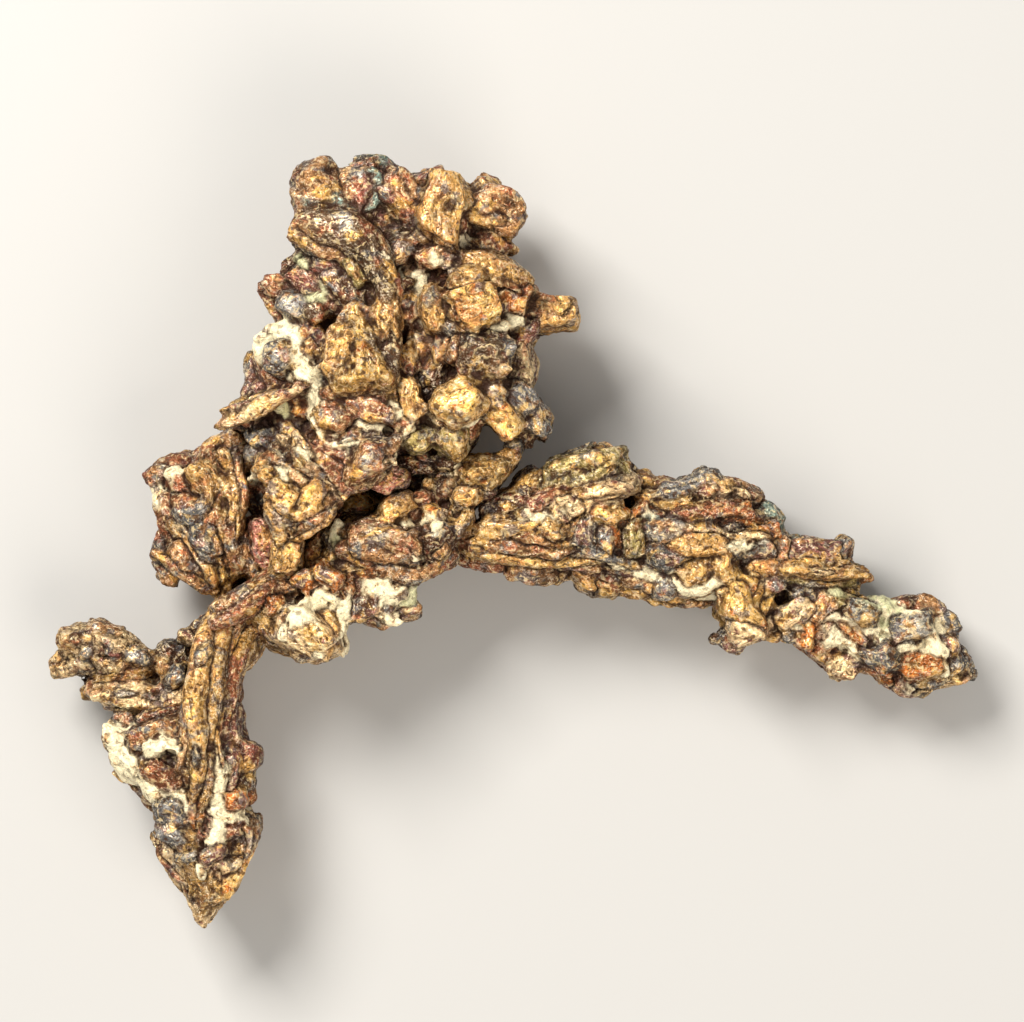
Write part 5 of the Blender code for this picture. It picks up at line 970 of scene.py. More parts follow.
# ---------------------------------------------------------------- crown
# The broad upper mass: round nodules along its crest, a bevelled block at its left shoulder, upright ribs
# down its middle, a large gold crystal, and a blade that points down and left over a web of calcite.
# It grows out of the bar, and rests on three crystals behind it.
CROWN = [
    # crest, left to right
    (32.0, 19.0, 4.5, 5.6, 5.2, 5, "nugget", "bronze"),
    (31.6, 20.9, 5.0, 3.8, 1.8, -8, "nugget", "verdigris"),
    (36.3, 20.0, 5.0, 5.6, 4.6, 68, "nugget", "mauve"),
    (35.2, 18.2, 4.6, 3.0, 2.4, 40, "nugget", "bronze"),
    (38.2, 17.3, 3.2, 7.0, 2.2, -24, "blade", "verdigris"),
    (36.7, 17.2, 3.6, 3.2, 2.4, -20, "nugget", "rust"),
    (40.8, 20.7, 6.0, 7.2, 3.2, -57, "rib", "rust"),
    (41.0, 18.6, 3.4, 3.4, 2.0, -35, "nugget", "rust"),
    (43.0, 18.5, 4.0, 3.2, 2.8, 12, "block", "mauve"),
    (44.3, 21.3, 7.0, 7.6, 4.4, 86, "block", "gold"),
    (43.0, 22.0, 6.5, 5.6, 1.9, 80, "rib", "gold"),
    (45.9, 20.0, 5.6, 3.6, 2.6, -62, "nugget", "gold"),
    (44.7, 23.6, 7.6, 3.4, 2.6, 84, "rib", "gold"),
    (48.8, 18.9, 3.6, 2.6, 2.4, -20, "nugget", "bronze"),
    (49.9, 21.4, 4.6, 5.0, 4.2, -35, "block", "bronze"),
    (48.7, 22.4, 5.6, 3.6, 1.6, -20, "rib", "gold"),
    (50.9, 21.0, 4.0, 3.4, 2.8, -48, "nugget", "rust"),
    (48.3, 20.6, 5.2, 2.8, 1.4, 30, "rib", "gold"),
    (46.2, 23.2, 5.6, 2.2, 1.5, 80, "nugget", "rust"),
    (49.3, 24.5, 4.2, 5.4, 1.6, -16, "blade", "rust"),
    (47.6, 25.0, 4.4, 3.6, 1.8, -5, "nugget", "bronze"),
    (51.0, 25.4, 3.0, 2.0, 0.9, 14, "blade", "umber"),
    # crystals round the crown's edge, halfway between front and back
    (36.8, 18.9, 0.4, 4.4, 3.0, 35, "nugget", "rust"),
    (33.2, 19.6, 0.2, 3.6, 3.4, -20, "nugget", "bronze"),
    (44.2, 20.6, -0.4, 3.8, 3.4, 40, "block", "mauve"),
    (49.2, 22.0, 0.2, 3.4, 3.6, -50, "nugget", "bronze"),
    (31.6, 23.8, -0.2, 3.4, 2.8, 20, "block", "rust"),
    (51.0, 30.4, 0.4, 3.0, 3.4, 70, "block", "rust"),
    (50.8, 36.6, -0.3, 3.4, 3.0, 20, "nugget", "bronze"),
    (29.4, 30.4, 0.0, 3.2, 2.6, -40, "block", "mauve"),
    # dark hollow under the crest
    (38.9, 22.8, 5.0, 3.8, 2.2, -42, "nugget", "mauve"),
    (41.9, 23.9, 5.4, 2.6, 1.2, -15, "nugget", "slate"),
    (40.4, 23.8, 5.6, 1.6, 1.0, 10, "nugget", "calcite"),
    (46.3, 24.1, 6.0, 1.4, 0.9, 35, "nugget", "calcite"),
    # left shoulder and the band that runs down from it
    (33.6, 24.0, 6.2, 8.8, 3.8, -14, "block", "bronze"),
    (32.6, 22.6, 6.0, 6.2, 1.7, 2, "rib", "rust"),
    (31.6, 25.0, 6.4, 3.2, 1.8, -25, "nugget", "slate"),
    (37.4, 25.3, 7.4, 5.8, 3.2, -52, "rib", "bronze"),
    (38.9, 28.5, 8.6, 6.0, 2.3, -80, "rib", "rust"),
    (38.5, 28.5, 9.2, 2.0, 1.3, -85, "nugget", "slate"),
    (39.1, 31.8, 9.2, 5.8, 2.3, -88, "rib", "gold"),
    (39.0, 35.8, 8.2, 7.0, 1.9, 88, "blade", "gold"),
    (39.4, 26.8, 8.8, 1.8, 0.6, -65, "blade", "calcite"),
    # dark red hackly patch and the left spike
    (30.4, 26.7, 4.0, 3.8, 2.2, 28, "block", "umber"),
    (33.2, 26.9, 5.6, 4.2, 2.0, -20, "block", "mauve"),
    (31.2, 28.7, 5.0, 4.8, 2.0, -34, "block", "mauve"),
    (34.0, 29.0, 6.4, 3.8, 2.0, -50, "block", "umber"),
    (32.9, 30.3, 5.6, 3.0, 1.6, -35, "nugget", "rust"),
    (30.7, 27.1, 5.4, 1.6, 0.9, -60, "nugget", "celadon"),
    (32.5, 28.9, 6.0, 1.5, 0.8, -55, "nugget", "celadon"),
    (31.8, 30.1, 6.4, 1.3, 1.0, 20, "nugget", "celadon"),
    (36.0, 27.5, 8.0, 2.8, 1.3, -68, "block", "olive"),
    (35.6, 29.2, 6.6, 3.6, 1.9, -66, "block", "umber"),
    (28.9, 29.2, 3.2, 5.2, 2.4, -22, "block", "rust"),
    (27.2, 29.0, 2.6, 2.2, 2.4, -60, "nugget", "rust"),
    (27.9, 30.9, 2.6, 3.2, 1.8, -65, "nugget", "rust"),
    (28.9, 27.0, 2.6, 1.9, 1.2, 62, "spike", "umber"),
    (29.8, 31.0, 5.4, 3.8, 1.9, -22, "block", "slate"),
    (32.0, 31.6, 6.4, 2.3, 1.8, -45, "block", "dun"),
    (31.3, 32.6, 5.0, 4.6, 1.3, -28, "blade", "umber"),
    # the large gold crystal
    (36.3, 35.3, 9.7, 9.8, 6.8, 94, "plate", "yellow"),
    (34.6, 36.0, 8.8, 6.4, 4.2, 82, "smooth", "gold"),
    (35.7, 32.0, 8.0, 3.6, 3.0, 60, "nugget", "bronze"),
    (34.2, 36.0, 8.4, 4.8, 3.4, 76, "nugget", "bronze"),
    (34.4, 38.2, 7.6, 4.0, 1.3, -2, "rib", "slate"),
    (34.9, 39.4, 8.0, 4.8, 1.7, -5, "rib", "bronze"),
    # calcite web at the left edge, with crystals standing out of it
    (28.6, 34.2, 3.8, 6.8, 3.2, 30, "crust", "calcite"),
    (30.9, 37.8, 6.6, 5.4, 2.4, -62, "crust", "calcite"),
    (28.1, 36.0, 6.0, 3.6, 3.0, 30, "smooth", "slate"),
    (31.0, 35.2, 6.4, 2.2, 1.8, 70, "smooth", "mauve"),
    (27.9, 38.0, 4.2, 3.8, 2.4, -50, "block", "rust"),
    (26.3, 36.9, 3.0, 3.0, 1.5, -75, "block", "rust"),
    (25.1, 37.1, 1.6, 4.2, 1.0, 84, "blade", "slate"),
    (25.1, 38.9, 2.2, 2.0, 1.5, 60, "nugget", "mauve"),
    (26.2, 38.8, 3.2, 2.4, 1.8, 20, "nugget", "mauve"),
    (38.7, 39.3, 6.4, 2.6, 2.0, 60, "nugget", "bronze"),
    (31.6, 33.9, 5.6, 2.6, 2.0, 30, "block", "mauve"),
    # the long blade pointing down and left
    (26.6, 40.5, 5.2, 11.0, 2.0, 24, "blade", "pale"),
    (28.8, 39.4, 5.4, 5.6, 1.6, 24, "rib", "rust"),
    (23.8, 40.8, 3.6, 3.4, 0.9, 48, "blade", "slate"),
    (30.2, 38.9, 7.0, 2.6, 1.4, 25, "nugget", "rust"),
    (30.4, 40.5, 5.2, 2.2, 1.7, 75, "block", "amber"),
    # lower centre: leaning crystals with white seams
    (33.7, 41.9, 7.6, 4.2, 2.7, -8, "nugget", "bronze"),
    (34.0, 41.6, 8.2, 2.0, 1.4, 10, "nugget", "slate"),
    (37.4, 41.1, 8.0, 4.6, 2.0, -24, "block", "rust"),
    (40.4, 41.7, 7.4, 3.8, 1.9, 14, "block", "rust"),
    (35.7, 43.9, 7.8, 4.5, 1.5, 6, "blade", "bronze"),
    (33.3, 44.9, 6.8, 3.8, 2.0, -52, "block", "rust"),
    (35.0, 46.5, 6.4, 2.8, 1.6, -60, "nugget", "rust"),
    (37.4, 46.0, 8.2, 6.2, 3.2, 30, "nugget", "bronze"),
    (30.8, 44.7, 7.2, 3.8, 1.8, -56, "nugget", "pale"),
    (28.9, 44.2, 6.2, 3.0, 1.0, -30, "blade", "pale"),
    (29.2, 42.1, 4.6, 2.6, 1.8, -20, "block", "umber"),
    (31.8, 41.7, 5.9, 4.2, 1.0, -76, "crust", "calcite"),
    (33.8, 44.2, 6.1, 3.8, 0.9, -46, "crust", "calcite"),
    (37.0, 42.8, 6.8, 2.9, 1.0, -18, "crust", "calcite"),
    (39.6, 41.5, 7.2, 2.0, 0.8, -28, "crust", "calcite"),
    (40.7, 43.3, 6.2, 2.9, 0.8, 50, "crust", "calcite"),
    (39.0, 46.2, 7.8, 2.2, 0.7, 35, "crust", "calcite"),
    (26.5, 43.4, 3.6, 3.4, 2.4, 30, "block", "slate"),
    (25.9, 45.2, 3.6, 2.6, 2.0, 80, "block", "slate"),
    (28.0, 45.4, 5.4, 3.4, 1.2, -50, "blade", "umber"),
    # centre column, down to its foot
    (27.4, 46.8, 6.2, 4.0, 2.1, -12, "block", "gold"),
    (27.8, 48.3, 7.2, 3.4, 1.6, -40, "block", "gold"),
    (29.1, 46.9, 7.2, 3.6, 1.1, -54, "blade", "calcite"),
    (30.3, 46.9, 7.0, 5.4, 1.2, -48, "blade", "bronze"),
    (31.7, 47.0, 7.8, 7.4, 1.3, -43, "blade", "bronze"),
    (33.1, 47.4, 7.6, 5.8, 1.3, -40, "blade", "rust"),
    (33.9, 48.9, 7.4, 3.6, 1.2, -30, "blade", "pale"),
    (28.7, 49.7, 8.4, 3.6, 3.6, -20, "block", "gold"),
    (29.0, 51.6, 7.8, 4.8, 2.4, -82, "spike", "gold"),
    (31.5, 49.9, 7.8, 4.6, 2.2, 55, "block", "gold"),
    (32.1, 52.0, 8.2, 7.4, 1.5, 33, "blade", "bronze"),
    (33.6, 50.7, 7.4, 4.6, 1.3, 38, "blade", "rust"),
    (28.9, 55.3, 6.2, 4.0, 3.0, 78, "block", "gold"),
    (28.6, 57.0, 5.6, 3.4, 2.0, 20, "nugget", "bronze"),
    (34.6, 49.2, 6.6, 2.4, 1.4, 15, "nugget", "calcite"),
    (36.3, 48.5, 7.4, 4.8, 1.1, 24, "blade", "pale"),
    # right face
    (40.4, 25.3, 6.2, 2.9, 2.7, 10, "nugget", "bronze"),
    (43.6, 25.9, 6.6, 3.8, 2.4, 22, "block", "rust"),
    (43.5, 26.3, 7.6, 0.9, 1.6, 20, "nugget", "calcite"),
    (41.0, 28.7, 5.4, 2.9, 2.4, 40, "crust", "calcite"),
    (41.0, 28.6, 6.4, 1.2, 0.7, -40, "block", "umber"),
    (41.0, 30.9, 5.8, 3.2, 1.6, 80, "nugget", "bronze"),
    (41.8, 30.9, 6.0, 1.6, 0.6, 75, "crust", "calcite"),
    (46.2, 25.5, 5.2, 2.6, 1.4, 10, "nugget", "umber"),
    (49.6, 27.3, 6.6, 7.4, 2.4, -21, "rib", "gold"),
    (46.9, 28.0, 7.8, 3.4, 2.6, 20, "nugget", "gold"),
    (43.9, 28.7, 4.0, 3.4, 2.0, 25, "block", "umber"),
    (43.4, 31.3, 8.2, 5.0, 2.2, -84, "rib", "gold"),
    (43.2, 30.4, 8.8, 2.2, 1.4, -80, "nugget", "slate"),
    (47.4, 30.9, 8.6, 5.0, 4.4, 10, "block", "yellow"),
    (46.2, 31.6, 9.2, 2.6, 2.2, 50, "nugget", "gold"),
    (50.4, 28.5, 6.2, 3.8, 1.8, -20, "nugget", "slate"),
    (51.5, 30.2, 6.4, 3.9, 2.8, 62, "block", "amber"),
    (53.8, 31.3, 3.8, 3.2, 3.2, -5, "block", "bronze"),
    (55.5, 31.4, 3.4, 4.4, 3.4, -4, "block", "gold"),
    (56.8, 31.3, 4.0, 1.6, 2.7, -12, "nugget", "pale"),
    (52.3, 33.4, 4.8, 3.6, 2.2, 28, "nugget", "mauve"),
    (51.1, 32.6, 5.4, 2.6, 0.8, 2, "crust", "calcite"),
    (45.2, 33.2, 8.0, 2.8, 1.4, 5, "nugget", "slate"),
    (48.8, 35.9, 8.4, 5.6, 4.4, -22, "nugget", "dun"),
    (47.9, 35.0, 9.2, 2.6, 1.7, -50, "nugget", "slate"),
    (50.6, 35.2, 9.0, 2.2, 1.5, 20, "nugget", "slate"),
    (50.0, 36.8, 9.0, 2.8, 2.2, -30, "nugget", "pale"),
    (46.2, 35.2, 7.8, 3.2, 2.8, 40, "nugget", "bronze"),
    (44.6, 34.9, 6.6, 3.4, 2.2, 70, "block", "bronze"),
    (43.9, 36.8, 6.2, 4.0, 1.9, 75, "block", "umber"),
    (41.9, 34.6, 5.8, 3.4, 2.2, -65, "nugget", "bronze"),
    (41.1, 36.8, 6.6, 6.0, 1.9, -87, "blade", "bronze"),
    (41.3, 40.0, 7.6, 4.4, 2.3, -76, "block", "gold"),
    (43.1, 38.9, 5.6, 6.4, 1.4, 82, "rib", "umber"),
    (46.0, 40.3, 9.2, 5.5, 4.6, 14, "smooth", "yellow"),
    (46.6, 42.5, 7.6, 2.6, 0.8, 24, "crust", "calcite"),
    (52.3, 37.0, 5.2, 4.8, 2.3, 84, "nugget", "pale"),
    (52.9, 35.9, 3.6, 3.0, 1.0, -82, "blade", "rust"),
    (49.4, 38.9, 7.2, 3.0, 1.8, -10, "nugget", "gold"),
    (52.1, 39.9, 6.0, 3.4, 2.4, -42, "block", "slate"),
    (50.0, 41.8, 6.8, 4.8, 2.5, -52, "block", "yellow"),
    (53.3, 41.6, 4.4, 5.0, 2.5, -58, "nugget", "slate"),
    (54.3, 43.1, 3.6, 2.2, 1.2, -72, "nugget", "slate"),
    (51.3, 44.6, 3.2, 2.4, 1.5, -65, "nugget", "slate"),
    # lower right
    (45.3, 43.7, 6.6, 5.0, 3.2, -76, "nugget", "olive"),
    (47.0, 43.7, 4.6, 3.8, 1.5, 70, "nugget", "rust"),
    (42.0, 44.2, 6.6, 2.9, 2.6, 15, "nugget", "olive"),
    (44.2, 42.0, 6.8, 3.0, 1.8, -30, "nugget", "pale"),
    (42.0, 46.4, 3.0, 4.0, 2.2, 12, "block", "umber"),
    (44.6, 46.4, 3.6, 2.6, 1.8, -20, "nugget", "umber"),
    (38.5, 44.2, 5.6, 3.0, 2.2, 60, "nugget", "bronze"),
    (27.2, 41.6, 3.0, 5.6, 2.4, 24, "block", "umber"),
    # the deep floor of the gaps below and left of the column
    (26.3, 54.8, 1.6, 6.6, 2.6, -74, "smooth", "pink"),
    (26.0, 49.4, -2.6, 5.0, 3.0, -85, "block", "umber"),
    (39.2, 48.2, 5.0, 3.8, 2.8, 25, "smooth", "pink"),
    (34.6, 51.0, -2.4, 7.4, 3.4, 30, "block", "umber"),
    (31.0, 54.6, -2.4, 3.6, 2.8, 60, "block", "umber"),
    (42.8, 48.2, -2.0, 4.0, 3.2, 20, "block", "umber"),
    # along the crest, halfway between front and back
    (40.4, 19.4, 0.2, 4.8, 3.2, 8, "nugget", "bronze"),
    (38.2, 18.4, -0.4, 2.8, 2.4, 60, "nugget", "verdigris"),
]
CROWN_BANDS = [
    ("dun", 0.3, [(29.9, 22.7, 2.6), (31.5, 23.0, 4.0), (34.2, 23.1, 4.2), (36.5, 24.4, 3.2),
                  (38.1, 27.0, 2.3), (39.0, 30.0, 1.9), (39.6, 33.5, 1.8), (39.5, 36.5, 1.6),
                  (38.9, 39.5, 1.2)]),
    ("rust", 0.1, [(27.6, 42.0, 1.0), (30.0, 43.4, 1.5), (32.0, 45.4, 1.5), (34.2, 47.6, 1.3),
                   (36.3, 49.2, 0.9)]),
    ("bronze", 0.2, [(26.6, 45.3, 1.1), (28.8, 46.6, 1.6), (31.2, 48.4, 1.5), (33.6, 50.0, 1.1)]),
    ("gold", 0.3, [(28.0, 53.6, 0.9), (30.5, 53.6, 1.3), (32.6, 52.2, 1.4), (34.4, 50.6, 1.0)]),
    ("gold", 0.2, [(27.0, 50.2, 1.2), (28.2, 52.2, 1.9), (28.4, 54.6, 1.3)]),
    ("calcite", 0.3, [(26.2, 33.8, 1.0), (27.6, 33.1, 1.4), (29.5, 33.6, 1.4), (30.6, 35.0, 1.0)]),
    ("calcite", 0.4, [(29.6, 34.6, 0.8), (29.9, 36.4, 1.4), (31.0, 37.6, 2.4), (31.6, 38.8, 1.8),
                      (31.5, 40.0, 0.5)]),
    ("calcite", 0.2, [(32.2, 36.6, 0.4), (32.0, 37.8, 0.8)]),
    ("calcite", 0.1, [(31.5, 41.2, 0.4), (31.9, 42.4, 0.6), (32.6, 43.2, 0.3)]),
    ("calcite", 0.1, [(33.4, 44.3, 0.3), (34.2, 44.6, 0.6), (35.2, 44.8, 0.3)]),
    ("calcite", 0.0, [(41.7, 41.8, 0.3), (41.2, 42.8, 0.5), (40.6, 43.6, 0.3)]),
    ("pale", 0.4, [(21.4, 42.9, 0.5), (23.6, 42.0, 1.3), (26.6, 40.7, 1.9), (29.0, 39.5, 1.6),
                   (30.8, 38.7, 0.8)]),
    ("verdigris", 0.4, [(30.4, 20.4, 0.8), (32.4, 21.0, 1.1), (34.0, 20.7, 0.9), (35.2, 21.7, 0.8),
                        (37.4, 20.8, 0.9), (38.2, 18.6, 0.9), (37.2, 17.2, 0.6)]),
    ("calcite", 0.1, [(44.4, 41.9, 0.5), (46.0, 42.0, 0.8), (47.6, 41.4, 0.7), (48.2, 40.6, 0.4)]),
    ("calcite", 0.2, [(50.2, 32.7, 0.6), (51.4, 32.4, 0.7), (52.4, 32.2, 0.4)]),
    ("calcite", 0.1, [(38.8, 25.8, 0.4), (39.2, 27.0, 0.6)]),
    ("celadon", 0.1, [(28.2, 40.6, 0.9), (28.9, 41.6, 0.7)]),
    ("calcite", 0.0, [(36.1, 42.0, 0.4), (36.5, 43.0, 0.7), (37.9, 42.8, 0.6), (39.3, 43.4, 0.4)]),
    ("calcite", 0.1, [(39.0, 41.0, 0.6), (39.8, 41.8, 0.5)]),
    ("calcite", 0.1, [(30.2, 44.2, 0.5), (30.9, 45.4, 0.6), (31.2, 46.4, 0.4)]),
    ("calcite", 0.1, [(28.2, 46.4, 0.5), (29.0, 47.4, 0.6), (29.6, 47.9, 0.4)]),
    ("calcite", 0.1, [(38.6, 46.4, 0.7), (39.8, 46.0, 0.8)]),
    ("calcite", 0.1, [(25.3, 47.4, 0.4), (25.2, 48.4, 0.5)]),
]
CROWN_CORES = [
    (36.0, 21.5, 8.0, 5.0, 8.0, -10),
    (46.0, 22.0, 8.0, 5.0, 9.0, 0),
    (37.5, 27.5, 13.0, 7.0, 12.0, -10),
    (46.0, 29.0, 11.0, 9.0, 13.0, 0),
    (36.5, 34.5, 13.0, 9.0, 13.5, -30),
    (47.0, 36.5, 11.0, 9.5, 13.5, 0),
    (35.0, 40.5, 14.0, 8.0, 12.5, 20),
    (44.5, 41.5, 9.0, 5.5, 11.0, 0),
    (37.0, 45.0, 10.0, 5.0, 11.5, 15),
    (31.0, 47.5, 7.0, 5.5, 12.0, -40),
    (29.3, 52.5, 3.0, 8.0, 10.0, 0),
    (43.0, 45.0, 6.0, 3.6, 9.0, 0),
    (41.6, 32.6, 6.0, 8.0, 12.0, 0),
    (50.0, 41.2, 6.0, 3.4, 10.0, -50),
    (52.2, 42.6, 6.0, 2.4, 9.0, -62),
    (53.6, 31.4, 5.0, 2.8, 8.0, 0),
    (52.0, 36.0, 2.6, 5.0, 8.0, 0),
    (27.4, 36.6, 3.6, 5.0, 8.0, 0),
    (26.4, 41.4, 8.0, 2.2, 7.0, 24),
    (28.4, 43.4, 5.0, 3.2, 8.0, -30),
]
CROWN_FEET = [
    (0, (35.6, 27.6, 2.6, 8.0, 6.4, 6.4)),
    (1, (47.4, 25.4, 2.6, 7.0, 6.0, 6.4)),
    (2, (37.6, 37.6, 2.2, 8.0, 7.0, 5.4)),
]
crown_crystals = branch_crystals(1, CROWN, CROWN_BANDS, CROWN_CORES, CROWN_FEET, lambda x: 11.5)
finished_branch("crown", "crown_of_copper", crown_crystals, 0.27, 196000)

# ---------------------------------------------------------------- left lobe
# A low rounded mass beside the crown: slate and gold nodules with long gold ribs along its right edge.
# It grows from the bar's left end and touches nothing below.
LOBE = [
    (22.8, 44.5, 3.4, 4.8, 2.6, 24, "block", "bronze"),
    (20.8, 45.5, 2.6, 3.6, 1.8, 34, "rib", "rust"),
    (23.4, 46.3, 4.2, 3.8, 1.5, -62, "rib", "gold"),
    (22.2, 46.4, 4.0, 4.0, 1.4, -55, "rib", "bronze"),
    (24.6, 45.6, 3.4, 3.4, 1.4, -75, "rib", "bronze"),
    (17.4, 46.2, 2.4, 3.8, 1.7, 14, "nugget", "rust"),
    (16.3, 47.8, 2.8, 3.0, 2.8, 30, "nugget", "mauve"),
    (17.7, 47.2, 4.2, 1.2, 0.8, 15, "block", "calcite"),
    (20.4, 47.7, 4.8, 3.4, 2.7, -66, "block", "gold"),
    (18.6, 48.6, 4.0, 2.8, 2.2, -50, "nugget", "rust"),
    (22.3, 49.2, 4.4, 3.6, 2.0, 75, "rib", "bronze"),
    (23.6, 50.6, 5.0, 7.4, 1.6, -86, "rib", "gold"),
    (24.6, 55.0, 4.2, 7.4, 1.5, -72, "rib", "bronze"),
    (23.3, 54.8, 4.6, 6.0, 1.3, -80, "rib", "gold"),
    (25.4, 57.6, 3.8, 2.6, 1.4, -55, "nugget", "bronze"),
    (16.5, 49.8, 3.2, 2.3, 1.0, -52, "crust", "calcite"),
    (19.4, 50.8, 4.8, 3.8, 3.4, 10, "nugget", "slate"),
    (21.4, 51.4, 5.0, 3.2, 2.4, 80, "nugget", "rust"),
    (20.6, 54.0, 4.8, 4.8, 2.8, -60, "block", "slate"),
    (19.0, 53.0, 4.4, 3.6, 2.0, -60, "nugget", "pale"),
    (22.4, 56.2, 4.6, 5.8, 1.8, -75, "blade", "gold"),
    (17.3, 51.6, 3.2, 3.8, 2.6, -70, "block", "rust"),
    (16.7, 53.1, 2.6, 1.9, 1.5, 40, "nugget", "rust"),
    (16.5, 55.1, 2.6, 3.2, 2.3, 62, "nugget", "slate"),
    (16.7, 57.8, 1.8, 2.1, 1.4, -20, "nugget", "bronze"),
    (16.0, 56.6, 1.8, 2.0, 1.4, -60, "nugget", "umber"),
    (18.8, 56.0, 3.8, 5.4, 2.8, -38, "block", "bronze"),
    (20.6, 57.4, 4.0, 4.4, 2.2, -52, "block", "gold"),
    (21.9, 58.8, 3.2, 3.0, 1.8, -50, "nugget", "gold"),
]
LOBE_BANDS = [
    ("bronze", 0.2, [(23.9, 45.2, 0.9), (24.3, 48.2, 1.3), (24.2, 51.0, 1.2), (23.5, 53.2, 1.3),
                     (23.7, 55.5, 1.3), (24.6, 57.5, 1.2)]),
    ("gold", 0.3, [(22.6, 51.0, 0.9), (22.4, 53.5, 1.4), (22.6, 56.0, 1.5), (22.5, 58.4, 1.1)]),
    ("gold", 0.3, [(16.9, 52.0, 1.0), (18.6, 54.0, 1.6), (20.4, 56.0, 1.8), (22.0, 58.6, 1.5)]),
    ("slate", 0.5, [(19.2, 53.7, 0.8), (20.3, 54.3, 1.3), (21.4, 55.2, 0.8)]),
    ("bronze", 0.3, [(15.6, 55.0, 1.6), (17.6, 56.3, 2.4), (19.8, 57.9, 2.0), (21.4, 59.2, 1.2)]),
    ("gold", 0.4, [(19.2, 46.4, 1.0), (20.4, 47.4, 2.0), (21.0, 49.0, 1.6), (21.2, 50.2, 0.8)]),
    ("calcite", 0.3, [(17.2, 47.4, 0.7), (17.9, 47.3, 1.0)]),
    ("calcite", 0.3, [(16.3, 49.2, 0.5), (16.5, 50.3, 0.8)]),
]
LOBE_CORES = [
    (19.6, 51.0, 6.0, 9.5, 8.0, 0),
    (22.6, 48.5, 5.0, 7.0, 7.5, 0),
    (22.2, 56.0, 3.6, 6.0, 6.5, 35),
    (17.2, 54.6, 2.6, 7.0, 5.0, 0),
]
lobe_crystals = branch_crystals(2, LOBE, LOBE_BANDS, LOBE_CORES, [], lambda x: 8.5)
finished_branch("left_lobe", "lobe_of_copper", lobe_crystals, 0.30, 60000)

